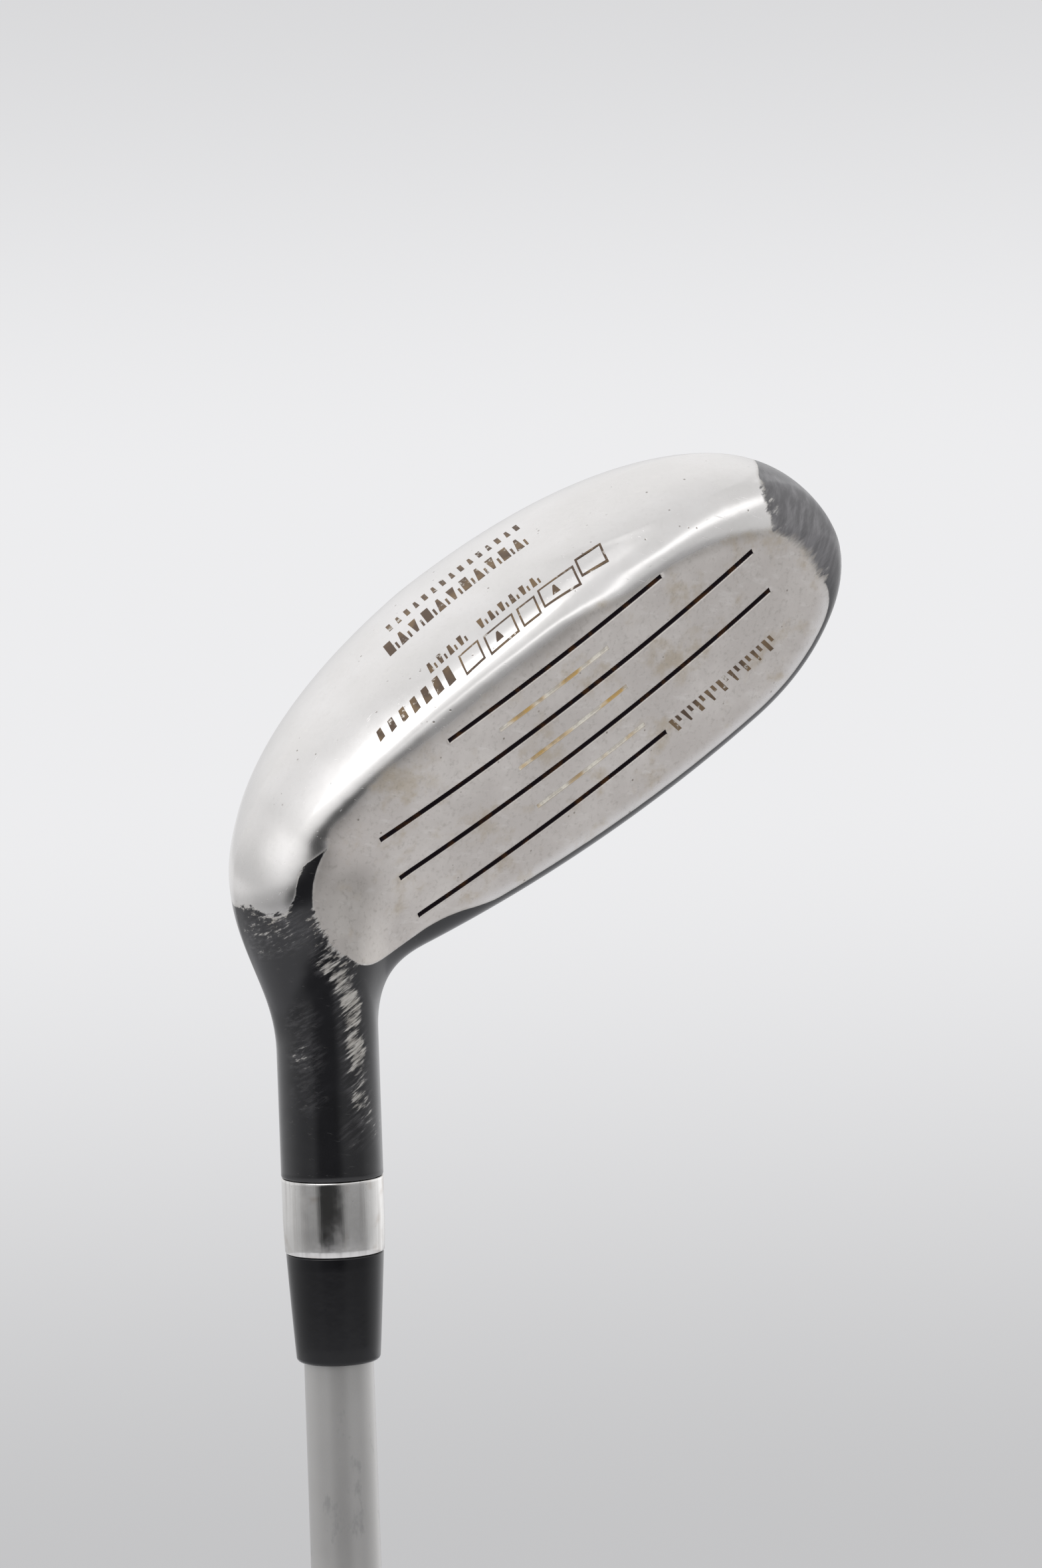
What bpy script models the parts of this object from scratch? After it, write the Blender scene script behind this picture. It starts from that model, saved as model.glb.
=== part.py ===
"""Hybrid golf club, right-handed, 22 degrees of loft, one metre long.

Metres, +Z along the shaft from the grip's end cap up to the head.
The face looks towards -Y and the toe points towards +X.
The head's shape is one smooth field in millimetres, built from a sole, a crown,
a rounded outline, the curved striking face and the hosel.
"""

import math

import bmesh
import bpy
import numpy as np

MM = 0.001

# Lengths along the club, in millimetres from the grip's end face.
HOSEL_END_Z = 949.0
BORE_DEPTH = 32.0
SHAFT_TIP_Z = HOSEL_END_Z + 30.0
RING_LENGTH = 10.0
FERRULE_LENGTH = 13.8
JOINT_GAP = 0.3
GRIP_CAP_HEIGHT = 6.2
GRIP_MOUTH_Z = 276.0
SHAFT_BUTT_Z = 7.0

# Radii along the club, in millimetres.
HOSEL_R = 6.9
BORE_R = 5.0
SHAFT_TIP_R = 4.7
SHAFT_BUTT_R = 7.6
SHAFT_TIP_WALL = 1.6
SHAFT_BUTT_WALL = 1.0
RING_R = 6.9
RING_EDGE_R = 6.65
FERRULE_TOP_R = 6.6
FERRULE_LIP_R = 5.7
SLEEVE_CLEARANCE = 0.3
TAPE_GAP = 0.1
TAPE_THICKNESS = 0.25
GRIP_MOUTH_R = 8.7
GRIP_BUTT_R = 13.4
GRIP_FLARE_R = 15.0
CAP_FLAT_R = 12.0
CAP_R = 15.2

# The head's angles and curves.
LIE = math.radians(57.35)
LOFT = math.radians(22.0)
FACE_CENTRE = (35.57, -8.27, 60.11)
BULGE_R = 290.0
ROLL_R = 357.0
SOLE_DEPTH = 23.6
SOLE_CENTRE = (1.7, 19.0)
SOLE_CAMBER_R = (175.0, 35.5)
CROWN_HEIGHT = 19.2
CROWN_CENTRE = (11.5, 17.8)
CROWN_R = (244.0, 40.8)
OUTLINE_CENTRE = (-4.5, 11.6)
OUTLINE_HALF = (57.9, 44.8)
OUTLINE_POWER = 1.46
OUTLINE_BLEND = 29.4
LEADING_EDGE_BLEND = 4.0
TOPLINE_BLEND = 1.8
EDGE_CHANGE_Z = -6.0
HOSEL_REACH = 41.9
HOSEL_END_BLEND = 8.0
HOSEL_BLEND_BACK = 8.6
HOSEL_BLEND_FRONT = 4.3
HOSEL_BLEND_FROM = -1.8

# Score lines: height up the face, start and end along it.
SCORE_PITCH = 3.6
FIRST_SCORE = -10.74
SCORE_HALF_WIDTH = 0.45
SCORE_DEPTH = 0.4
SHORT_LINE = (-18.5, 19.0)
INNER_LINE = (-11.5, 7.5)
LONG_LINE = (-33.0, 33.0)
TOP_LINE = (-33.0, 10.0)
SCORE_SPANS = (SHORT_LINE, INNER_LINE, LONG_LINE, INNER_LINE, LONG_LINE, INNER_LINE, TOP_LINE)
FACE_EDGE_ROWS = (-19.4, -17.6, -16.0, -14.5, -13.0)
FACE_TOP_ROWS = (13.0, 15.2, 17.4, 19.4)

# The spine that the head's rings stand on.
SPINE_Z = 3.0
SPINE_BEND_R = 18.0
SPINE_CENTRE_SHIFT = 10.0
TOE_RING_X = 34.5
RING_STEP = 5.0
BACK_ROWS = 26

# The hollow inside, and the crown plate that closes it.
SHELL_WALL = 2.2
CROWN_WALL = 1.1
CAVITY_START_X = -30.0
OPENING_CENTRE = (1.0, 24.5)
OPENING_HALF = (29.0, 12.5)
OPENING_POWER = 2.5
OPENING_FLOOR_Z = 7.0
OPENING_TOP_Z = 32.0
PLATE_GAP = 0.3

SEGMENTS = 48


def clear_scene():
    for obj in list(bpy.data.objects):
        bpy.data.objects.remove(obj, do_unlink=True)


# ---------------------------------------------------------------- materials


def make_material(name, colour, metallic, roughness):
    material = bpy.data.materials.new(name)
    material.use_nodes = True
    shader = material.node_tree.nodes["Principled BSDF"]
    shader.inputs["Base Color"].default_value = (*colour, 1.0)
    shader.inputs["Metallic"].default_value = metallic
    shader.inputs["Roughness"].default_value = roughness
    return material


def head_steel():
    return make_material("head_steel", (0.55, 0.54, 0.51), 1.0, 0.28)


def crown_black():
    return make_material("crown_black", (0.012, 0.012, 0.013), 0.0, 0.12)


def polished_ring():
    return make_material("polished_ring", (0.72, 0.72, 0.72), 1.0, 0.1)


def ferrule_black():
    return make_material("ferrule_black", (0.02, 0.02, 0.02), 0.0, 0.2)


def shaft_graphite():
    return make_material("shaft_graphite", (0.22, 0.21, 0.19), 0.3, 0.3)


def grip_rubber():
    return make_material("grip_rubber", (0.018, 0.018, 0.019), 0.0, 0.75)


def cap_rubber():
    return make_material("cap_rubber", (0.022, 0.022, 0.023), 0.0, 0.7)


def tape_paper():
    return make_material("tape_paper", (0.75, 0.7, 0.55), 0.0, 0.8)


def weight_brass():
    return make_material("weight_brass", (0.72, 0.52, 0.22), 1.0, 0.35)


def plug_rubber():
    return make_material("plug_rubber", (0.35, 0.08, 0.05), 0.0, 0.8)


def glue_amber():
    return make_material("glue_amber", (0.62, 0.45, 0.2), 0.0, 0.4)


# ---------------------------------------------------------------- the head's shape


def smooth_max(a, b, k):
    near = np.maximum(k - np.abs(a - b), 0.0) / k
    return np.maximum(a, b) + near * near * k * 0.25


def smooth_min(a, b, k):
    return -smooth_max(-a, -b, k)


def ease(value):
    t = np.clip(value, 0.0, 1.0)
    return t * t * (3.0 - 2.0 * t)


def dome(along, across, radii):
    """How far a shallow dome drops at this place, and how steep it is there."""
    drop = along * along / (2.0 * radii[0]) + across * across / (2.0 * radii[1])
    steep = np.sqrt(1.0 + (along / radii[0]) ** 2 + (across / radii[1]) ** 2)
    return drop, steep


def face_field(x, h, z):
    """Negative behind the striking face, which bulges heel to toe and rolls up and down."""
    up_face = h * math.sin(LOFT) + z * math.cos(LOFT)
    out = -h * math.cos(LOFT) + z * math.sin(LOFT)
    return out + x * x / (2.0 * BULGE_R) + up_face * up_face / (2.0 * ROLL_R)


def body_field(x, h, z):
    """Negative inside the rounded body, before the face is cut."""
    drop, steep = dome(x - SOLE_CENTRE[0], h - SOLE_CENTRE[1], SOLE_CAMBER_R)
    sole = (-z - SOLE_DEPTH + drop) / steep
    drop, steep = dome(x - CROWN_CENTRE[0], h - CROWN_CENTRE[1], CROWN_R)
    crown = (z - CROWN_HEIGHT + drop) / steep
    across = np.abs(x - OUTLINE_CENTRE[0]) / OUTLINE_HALF[0]
    behind = np.maximum(h - OUTLINE_CENTRE[1], 0.0) / OUTLINE_HALF[1]
    power = OUTLINE_POWER
    radius = (across**power + behind**power + 1e-9) ** (1.0 / power)
    slope_x = (across / radius) ** (power - 1.0) / OUTLINE_HALF[0]
    slope_h = (behind / radius) ** (power - 1.0) / OUTLINE_HALF[1]
    outline = (radius - 1.0) / np.sqrt(slope_x**2 + slope_h**2 + 1e-12)
    upper = smooth_max(outline, crown, OUTLINE_BLEND)
    return smooth_max(sole, upper, OUTLINE_BLEND)


def hosel_end():
    """The centre of the hosel's open end, in the head's own x, h and z."""
    px, py, pz = FACE_CENTRE
    along = -(px * math.sin(LIE) + pz * math.cos(LIE))
    above = -(px * math.cos(LIE) - pz * math.sin(LIE))
    return np.array([along, -py, above])


def hosel_axis():
    """The direction from the hosel's end into the head."""
    return np.array([math.cos(LIE), 0.0, -math.sin(LIE)])


def hosel_field(x, h, z):
    """Negative inside the round hosel."""
    end = hosel_end()
    axis = hosel_axis()
    dx = x - end[0]
    dh = h - end[1]
    dz = z - end[2]
    along = dx * axis[0] + dz * axis[2]
    side = (dx - along * axis[0]) ** 2 + dh**2 + (dz - along * axis[2]) ** 2
    radius = np.sqrt(np.maximum(side, 1e-9))
    return smooth_max(radius - HOSEL_R, along - HOSEL_REACH, HOSEL_END_BLEND)


def head_field(x, h, z):
    """Negative inside the whole head."""
    edge = LEADING_EDGE_BLEND + (TOPLINE_BLEND - LEADING_EDGE_BLEND) * ease((z - EDGE_CHANGE_Z) / 10.0 + 0.5)
    body = smooth_max(body_field(x, h, z), face_field(x, h, z), edge)
    behind = ease((h - HOSEL_BLEND_FROM) / 12.0)
    blend = HOSEL_BLEND_FRONT + (HOSEL_BLEND_BACK - HOSEL_BLEND_FRONT) * behind
    return smooth_min(body, hosel_field(x, h, z), blend)


def to_world(points):
    """The head's x, h and z in millimetres as world coordinates in metres."""
    points = np.asarray(points, float)
    toe = np.array([math.sin(LIE), 0.0, math.cos(LIE)])
    back = np.array([0.0, 1.0, 0.0])
    up = np.array([math.cos(LIE), 0.0, -math.sin(LIE)])
    centre = np.array(FACE_CENTRE) + np.array([0.0, 0.0, HOSEL_END_Z])
    return (centre + points[..., :1] * toe + points[..., 1:2] * back + points[..., 2:] * up) * MM


def face_point(x, up_face):
    """The place on the striking face, in the head's x, h and z."""
    sag = x * x / (2.0 * BULGE_R) + up_face * up_face / (2.0 * ROLL_R)
    h = up_face * math.sin(LOFT) + sag * math.cos(LOFT)
    z = up_face * math.cos(LOFT) - sag * math.sin(LOFT)
    return x, h, z


def spine_bend():
    """Where the hosel's axis meets the level spine, and how long each leg of the bend is."""
    end = hosel_end()
    reach = (end[2] - SPINE_Z) / math.sin(LIE)
    leg = SPINE_BEND_R * math.tan(LIE / 2.0)
    return reach, leg


def bend_end_x():
    reach, leg = spine_bend()
    return float(hosel_end()[0] + reach * math.cos(LIE) + leg)


def hosel_and_bend_rings(hosel_steps, bend_steps):
    """Ring centres, directions and how far each is from the level spine, 1 to 0."""
    end = hosel_end()
    axis = hosel_axis()
    reach, leg = spine_bend()
    rings = []
    for s in np.linspace(0.0, reach - leg, hosel_steps, endpoint=False):
        rings.append((end + axis * s, axis, 1.0))
    pivot = np.array([bend_end_x(), 0.0, SPINE_Z + SPINE_BEND_R])
    for part in np.linspace(0.0, 1.0, bend_steps, endpoint=False):
        turn = -LIE * (1.0 - part)
        ahead = np.array([math.cos(turn), 0.0, math.sin(turn)])
        down = np.array([math.sin(turn), 0.0, -math.cos(turn)])
        centre = pivot + down * SPINE_BEND_R
        centre[1] = end[1] + 6.0 * part * part
        rings.append((centre, ahead, 1.0 - part))
    return rings


def level_centre(x):
    """The spine's centre at x, which leans back into the body towards the toe."""
    part = (x - bend_end_x()) / (TOE_RING_X - bend_end_x())
    return np.array([x, hosel_end()[1] + 6.0 + (SPINE_CENTRE_SHIFT - 6.0) * part, SPINE_Z])


def row_turns(x, face_rows, back_rows):
    """The angle of each row round a level ring: up the face, then back round over the crown and sole."""
    centre = level_centre(x)
    turns = []
    for up_face in face_rows:
        _, h, z = face_point(x, up_face)
        turn = math.atan2(z - centre[2], h - centre[1])
        turns.append(turn if turn > 0.0 else turn + 2.0 * math.pi)
    first = turns[-1]
    last = turns[0] - 2.0 * math.pi
    for i in range(1, back_rows + 1):
        t = i / (back_rows + 1)
        t -= 0.55 * math.sin(2.0 * math.pi * t) / (2.0 * math.pi)
        turns.append(first + (last - first) * t)
    return np.array(turns)


def skin_distance(origins, rays, level, reach=75.0, step=1.5):
    """How far along each ray the head's field reaches this level."""
    low = np.zeros(len(origins))
    high = np.full(len(origins), reach)
    open_ray = np.ones(len(origins), bool)
    for i in range(1, int(reach / step) + 1):
        at = origins + rays * (i * step)
        outside = head_field(at[:, 0], at[:, 1], at[:, 2]) > level
        crossed = outside & open_ray
        high[crossed] = i * step
        low[crossed] = (i - 1) * step
        open_ray &= ~outside
    for _ in range(22):
        middle = 0.5 * (low + high)
        at = origins + rays * middle[:, None]
        outside = head_field(at[:, 0], at[:, 1], at[:, 2]) > level
        high = np.where(outside, middle, high)
        low = np.where(outside, low, middle)
    return high


def ring_rays(ahead, turns):
    across = np.array([0.0, 1.0, 0.0])
    upward = np.cross(ahead, across)
    return np.cos(turns)[:, None] * across + np.sin(turns)[:, None] * upward


def skin_ring(centre, rays, level):
    origins = np.repeat(centre[None], len(rays), 0)
    return origins + rays * skin_distance(origins, rays, level)[:, None]


def toe_rings(turns, level, steps):
    """Rings that close over the toe, and the toe's end point."""
    centre = level_centre(TOE_RING_X)
    ahead = np.array([1.0, 0.0, 0.0])
    flat = ring_rays(ahead, turns)
    rings = []
    for i in range(1, steps):
        tilt = 0.5 * math.pi * i / steps
        rings.append(skin_ring(centre, math.cos(tilt) * flat + math.sin(tilt) * ahead, level))
    tip = skin_ring(centre, ahead[None], level)[0]
    return rings, tip


def score_rows():
    rows = list(FACE_EDGE_ROWS)
    for i in range(len(SCORE_SPANS)):
        middle = FIRST_SCORE + i * SCORE_PITCH
        rows += [middle - SCORE_HALF_WIDTH, middle, middle + SCORE_HALF_WIDTH]
    return rows + list(FACE_TOP_ROWS)


def level_stations():
    """Ring places along the level spine, with one at each end of each score line."""
    places = set(np.round(np.arange(bend_end_x(), TOE_RING_X, RING_STEP), 2))
    for start, end in SCORE_SPANS:
        for place in (start, start + 0.8, end - 0.8, end):
            places = {p for p in places if abs(p - place) > 1.2 or p in (start, end)} | {place}
    return sorted(places | {TOE_RING_X})


def press_score_lines(ring, x):
    """Sinks the middle row of each score line that runs past this ring."""
    inward = np.array([0.0, math.cos(LOFT), -math.sin(LOFT)])
    for i, (start, end) in enumerate(SCORE_SPANS):
        if start + 0.5 < x < end - 0.5:
            ring[len(FACE_EDGE_ROWS) + 3 * i + 1] += inward * SCORE_DEPTH


def head_skin():
    """The outer surface as rings of points from the hosel's end to the toe, and the toe's end point."""
    rows = score_rows()
    stations = level_stations()
    first = row_turns(stations[0], rows, BACK_ROWS)
    even = first[0] - 2.0 * math.pi * np.arange(len(first)) / len(first)
    rings = []
    for centre, ahead, far in hosel_and_bend_rings(5, 9):
        turns = first + (even - first) * float(ease(far))
        rings.append(skin_ring(centre, ring_rays(ahead, turns), 0.0))
    for x in stations:
        turns = row_turns(x, rows, BACK_ROWS)
        ring = skin_ring(level_centre(x), ring_rays(np.array([1.0, 0.0, 0.0]), turns), 0.0)
        press_score_lines(ring, x)
        rings.append(ring)
    closing, tip = toe_rings(turns, 0.0, 12)
    return rings + closing, tip


def cavity_skin(wall):
    """The same surface moved in by the wall, from just past the heel to the toe."""
    turns = -2.0 * math.pi * np.arange(36) / 36
    rings = []
    for x in np.linspace(CAVITY_START_X, TOE_RING_X, 12):
        rings.append(skin_ring(level_centre(x), ring_rays(np.array([1.0, 0.0, 0.0]), turns), -wall))
    closing, tip = toe_rings(turns, -wall, 5)
    return rings + closing, tip


# ---------------------------------------------------------------- meshes


def solid_object(name, points, faces, material, smooth=True):
    mesh = bpy.data.meshes.new(name)
    mesh.from_pydata([tuple(p) for p in points], [], faces)
    work = bmesh.new()
    work.from_mesh(mesh)
    bmesh.ops.recalc_face_normals(work, faces=work.faces)
    if work.calc_volume(signed=True) < 0.0:
        bmesh.ops.reverse_faces(work, faces=work.faces)
    work.to_mesh(mesh)
    work.free()
    mesh.polygons.foreach_set("use_smooth", [smooth] * len(mesh.polygons))
    obj = bpy.data.objects.new(name, mesh)
    bpy.context.scene.collection.objects.link(obj)
    if material is not None:
        mesh.materials.append(material)
    return obj


def ring_body(name, rings, tip, material):
    """One closed solid from rings of points: flat at the first ring, closed over the tip at the last."""
    count = len(rings[0])
    points = [p for ring in rings for p in to_world(ring)]
    faces = [tuple(range(count))]
    for i in range(len(rings) - 1):
        for j in range(count):
            k = (j + 1) % count
            faces.append((i * count + j, i * count + k, (i + 1) * count + k, (i + 1) * count + j))
    points.append(to_world(tip))
    last = (len(rings) - 1) * count
    for j in range(count):
        faces.append((last + j, last + (j + 1) % count, len(points) - 1))
    return solid_object(name, points, faces, material)


def as_cutter(obj):
    obj.hide_render = True
    obj.display_type = "WIRE"
    return obj


def add_boolean(obj, cutter, operation):
    modifier = obj.modifiers.new(cutter.name, "BOOLEAN")
    modifier.operation = operation
    modifier.solver = "EXACT"
    modifier.object = cutter


def revolved(name, profile, material):
    """A round solid from a closed loop of (radius, z) points in millimetres, or from axis to axis."""
    points = []
    index = []
    for radius, z in profile:
        index.append(len(points))
        if radius <= 0.0:
            points.append((0.0, 0.0, z * MM))
            continue
        for s in range(SEGMENTS):
            turn = 2.0 * math.pi * s / SEGMENTS
            points.append((radius * math.cos(turn) * MM, radius * math.sin(turn) * MM, z * MM))
    hollow = all(radius > 0.0 for radius, _ in profile)
    steps = len(profile) if hollow else len(profile) - 1
    faces = []
    for i in range(steps):
        j = (i + 1) % len(profile)
        for s in range(SEGMENTS):
            t = (s + 1) % SEGMENTS
            if profile[i][0] <= 0.0:
                faces.append((index[i], index[j] + s, index[j] + t))
            elif profile[j][0] <= 0.0:
                faces.append((index[i] + s, index[i] + t, index[j]))
            else:
                faces.append((index[i] + s, index[i] + t, index[j] + t, index[j] + s))
    return solid_object(name, points, faces, material)


def opening_prism(name, inset):
    """The upright block that cuts the crown's opening, its outline pulled in by the inset."""
    outline = []
    for i in range(56):
        turn = 2.0 * math.pi * i / 56
        c = math.cos(turn)
        s = math.sin(turn)
        x = OPENING_CENTRE[0] + (OPENING_HALF[0] - inset) * math.copysign(abs(c) ** (2.0 / OPENING_POWER), c)
        h = OPENING_CENTRE[1] + (OPENING_HALF[1] - inset) * math.copysign(abs(s) ** (2.0 / OPENING_POWER), s)
        outline.append((x, h))
    points = [to_world((x, h, OPENING_FLOOR_Z)) for x, h in outline]
    points += [to_world((x, h, OPENING_TOP_Z)) for x, h in outline]
    count = len(outline)
    faces = [tuple(range(count)), tuple(range(count, 2 * count))]
    for i in range(count):
        j = (i + 1) % count
        faces.append((i, j, count + j, count + i))
    return as_cutter(solid_object(name, points, faces, None, smooth=False))


# ---------------------------------------------------------------- the pieces


def build_head():
    rings, tip = head_skin()
    body = ring_body("head_body", rings, tip, head_steel())
    cavity = as_cutter(ring_body("cut_cavity", *cavity_skin(SHELL_WALL), None))
    bore = [(0.0, HOSEL_END_Z - 5.0), (BORE_R, HOSEL_END_Z - 5.0)]
    bore += [(BORE_R, HOSEL_END_Z + BORE_DEPTH), (0.0, HOSEL_END_Z + BORE_DEPTH)]
    bore_cutter = as_cutter(revolved("cut_bore", bore, None))
    add_boolean(body, cavity, "DIFFERENCE")
    add_boolean(body, opening_prism("cut_opening", 0.0), "DIFFERENCE")
    add_boolean(body, bore_cutter, "DIFFERENCE")
    return rings, tip


def build_crown_plate(rings, tip):
    plate = ring_body("crown_plate", rings, tip, crown_black())
    inside = as_cutter(ring_body("cut_plate_inside", *cavity_skin(CROWN_WALL), None))
    add_boolean(plate, opening_prism("cut_plate_outline", PLATE_GAP), "INTERSECT")
    add_boolean(plate, inside, "DIFFERENCE")


def build_rattle_glue():
    """The pad of soft glue that catches loose crumbs, on the floor of the hollow."""
    points = []
    for i in range(1, 6):
        tilt = math.pi * i / 6
        for s in range(20):
            turn = 2.0 * math.pi * s / 20
            x = 7.0 * math.sin(tilt) * math.cos(turn)
            h = 17.0 + 5.0 * math.sin(tilt) * math.sin(turn)
            points.append((x, h, 1.3 - SOLE_DEPTH + SHELL_WALL + 0.6 + 1.3 * math.cos(tilt)))
    faces = [tuple(range(20)), tuple(range(80, 100))]
    for i in range(4):
        for s in range(20):
            t = (s + 1) % 20
            faces.append((i * 20 + s, i * 20 + t, (i + 1) * 20 + t, (i + 1) * 20 + s))
    return solid_object("rattle_glue", [to_world(p) for p in points], faces, glue_amber())


def build_hosel_ring():
    top = HOSEL_END_Z - JOINT_GAP
    bottom = top - RING_LENGTH
    inner = SHAFT_TIP_R + SLEEVE_CLEARANCE
    profile = [(inner, bottom), (RING_EDGE_R - 0.4, bottom), (RING_EDGE_R, bottom + 0.5)]
    profile += [(RING_R, bottom + 2.0), (RING_R, top), (inner, top)]
    revolved("hosel_ring", profile, polished_ring())


def build_ferrule():
    top = HOSEL_END_Z - 2.0 * JOINT_GAP - RING_LENGTH
    bottom = top - FERRULE_LENGTH
    inner = SHAFT_TIP_R + SLEEVE_CLEARANCE
    profile = [(inner, bottom)]
    for i in range(4):
        turn = 0.5 * math.pi * i / 3
        profile.append((FERRULE_LIP_R - 0.5 + 0.5 * math.sin(turn), bottom + 0.8 - 0.8 * math.cos(turn)))
    profile += [(FERRULE_TOP_R, top), (inner, top)]
    revolved("ferrule", profile, ferrule_black())


def shaft_radius(z):
    """The shaft's outer radius: parallel inside the head's fittings, tapering from there to the butt."""
    taper_start = HOSEL_END_Z - 25.0
    if z >= taper_start:
        return SHAFT_TIP_R
    part = (taper_start - z) / (taper_start - SHAFT_BUTT_Z)
    return SHAFT_TIP_R + (SHAFT_BUTT_R - SHAFT_TIP_R) * part


def shaft_wall(z):
    part = (SHAFT_TIP_Z - z) / (SHAFT_TIP_Z - SHAFT_BUTT_Z)
    return SHAFT_TIP_WALL + (SHAFT_BUTT_WALL - SHAFT_TIP_WALL) * part


def build_shaft():
    stations = [SHAFT_BUTT_Z, GRIP_MOUTH_Z, 500.0, 720.0, HOSEL_END_Z - 25.0, SHAFT_TIP_Z]
    outer = [(shaft_radius(z), z) for z in stations]
    inner = [(shaft_radius(z) - shaft_wall(z), z) for z in reversed(stations)]
    revolved("shaft", outer + inner, shaft_graphite())


def build_tip_plug():
    low = SHAFT_TIP_Z - 22.0
    revolved("tip_plug", [(0.0, low), (2.8, low), (2.8, low + 12.0), (0.0, low + 12.0)], plug_rubber())


def build_swing_weight():
    low = SHAFT_TIP_Z - 9.5
    top = SHAFT_TIP_Z + 1.6
    profile = [(0.0, low), (2.3, low), (2.7, low + 0.6), (2.7, SHAFT_TIP_Z + 0.3)]
    profile += [(4.2, SHAFT_TIP_Z + 0.3), (4.2, top), (0.0, top)]
    revolved("swing_weight", profile, weight_brass())


def build_grip_tape():
    stations = [SHAFT_BUTT_Z + 2.0, 140.0, GRIP_MOUTH_Z - 3.0]
    inner = [(shaft_radius(z) + TAPE_GAP, z) for z in stations]
    outer = [(shaft_radius(z) + TAPE_GAP + TAPE_THICKNESS, z) for z in reversed(stations)]
    revolved("grip_tape", inner + outer, tape_paper())


def grip_radius(z):
    """The grip's outer radius: flared at the butt, a gentle curve down to the mouth."""
    part = (z - GRIP_CAP_HEIGHT) / (GRIP_MOUTH_Z - GRIP_CAP_HEIGHT)
    straight = GRIP_BUTT_R + (GRIP_MOUTH_R - GRIP_BUTT_R) * part**0.85
    return straight + (GRIP_FLARE_R - GRIP_BUTT_R) * math.exp(-(z - GRIP_CAP_HEIGHT) / 9.0)


def build_grip_sleeve():
    low = GRIP_CAP_HEIGHT + JOINT_GAP
    stations = [low, 10.0, 14.0, 20.0, 30.0, 50.0, 80.0, 120.0, 160.0, 200.0, 240.0, 270.0]
    outer = [(grip_radius(z), z) for z in stations]
    outer += [(grip_radius(274.0), 274.0), (GRIP_MOUTH_R - 0.9, GRIP_MOUTH_Z)]
    skin = TAPE_GAP + TAPE_THICKNESS + 0.1
    inner = [(shaft_radius(z) + skin, z) for z in (GRIP_MOUTH_Z, 140.0, low)]
    revolved("grip_sleeve", outer + inner, grip_rubber())


def build_grip_cap():
    profile = [(0.0, 0.0), (CAP_FLAT_R, 0.0)]
    for i in range(1, 5):
        turn = 0.5 * math.pi * i / 4
        radius = CAP_FLAT_R + (CAP_R - CAP_FLAT_R) * math.sin(turn)
        profile.append((radius, 2.6 - 2.6 * math.cos(turn)))
    profile += [(CAP_R, 4.2), (GRIP_FLARE_R, GRIP_CAP_HEIGHT), (0.0, GRIP_CAP_HEIGHT)]
    revolved("grip_cap", profile, cap_rubber())


def main():
    clear_scene()
    rings, tip = build_head()
    build_crown_plate(rings, tip)
    build_rattle_glue()
    build_hosel_ring()
    build_ferrule()
    build_shaft()
    build_tip_plug()
    build_swing_weight()
    build_grip_tape()
    build_grip_sleeve()
    build_grip_cap()


main()
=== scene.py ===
"""The looks of the hybrid golf club: a finely made head, fittings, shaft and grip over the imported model.

Lengths in the shape code are millimetres, and the scene is in metres with +Z up the shaft.
"""

import math

import bpy
import bmesh
import numpy as np
from mathutils import Matrix, Vector


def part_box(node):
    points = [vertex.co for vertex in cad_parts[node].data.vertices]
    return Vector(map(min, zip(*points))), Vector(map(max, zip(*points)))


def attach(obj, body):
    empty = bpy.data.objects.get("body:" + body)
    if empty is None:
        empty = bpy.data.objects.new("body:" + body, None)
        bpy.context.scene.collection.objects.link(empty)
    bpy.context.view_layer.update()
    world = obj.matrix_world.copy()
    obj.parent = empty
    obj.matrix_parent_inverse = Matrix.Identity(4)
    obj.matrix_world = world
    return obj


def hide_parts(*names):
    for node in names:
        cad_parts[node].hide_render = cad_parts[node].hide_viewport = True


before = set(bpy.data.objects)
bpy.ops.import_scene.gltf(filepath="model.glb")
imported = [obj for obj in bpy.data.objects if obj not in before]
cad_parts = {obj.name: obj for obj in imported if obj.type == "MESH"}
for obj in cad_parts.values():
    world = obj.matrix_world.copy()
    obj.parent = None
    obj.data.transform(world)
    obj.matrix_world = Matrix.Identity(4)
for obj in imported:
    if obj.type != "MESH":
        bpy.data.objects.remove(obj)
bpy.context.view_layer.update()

MM = 0.001

# The head's angles and curves, in millimetres, as in the model.
LIE = math.radians(57.35)
LOFT = math.radians(22.0)
FACE_CENTRE = (35.57, -8.27, 60.11)
BULGE_R = 290.0
ROLL_R = 357.0
SOLE_DEPTH = 23.6
SOLE_CENTRE = (1.7, 19.0)
SOLE_CAMBER_R = (175.0, 35.5)
CROWN_HEIGHT = 19.2
CROWN_CENTRE = (11.5, 17.8)
CROWN_R = (244.0, 40.8)
OUTLINE_CENTRE = (-4.5, 11.6)
OUTLINE_HALF = (57.9, 44.8)
OUTLINE_POWER = 1.46
OUTLINE_BLEND = 29.4
LEADING_EDGE_BLEND = 4.0
TOE_EDGE_BLEND = 1.5
TOPLINE_BLEND = 1.8
EDGE_CHANGE_Z = -6.0
HOSEL_R = 6.9
BORE_R = 5.0
BORE_DEPTH = 32.0
HOSEL_REACH = 41.9
HOSEL_END_BLEND = 8.0
HOSEL_BLEND_BACK = 8.6
HOSEL_BLEND_FRONT = 4.3
HOSEL_BLEND_FROM = -1.8

# The spine that the head's rings stand on.
SPINE_Z = 3.0
SPINE_BEND_R = 18.0
SPINE_BEND_SHIFT = 6.0
SPINE_CENTRE_SHIFT = 10.0
TOE_RING_X = 34.5

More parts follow.
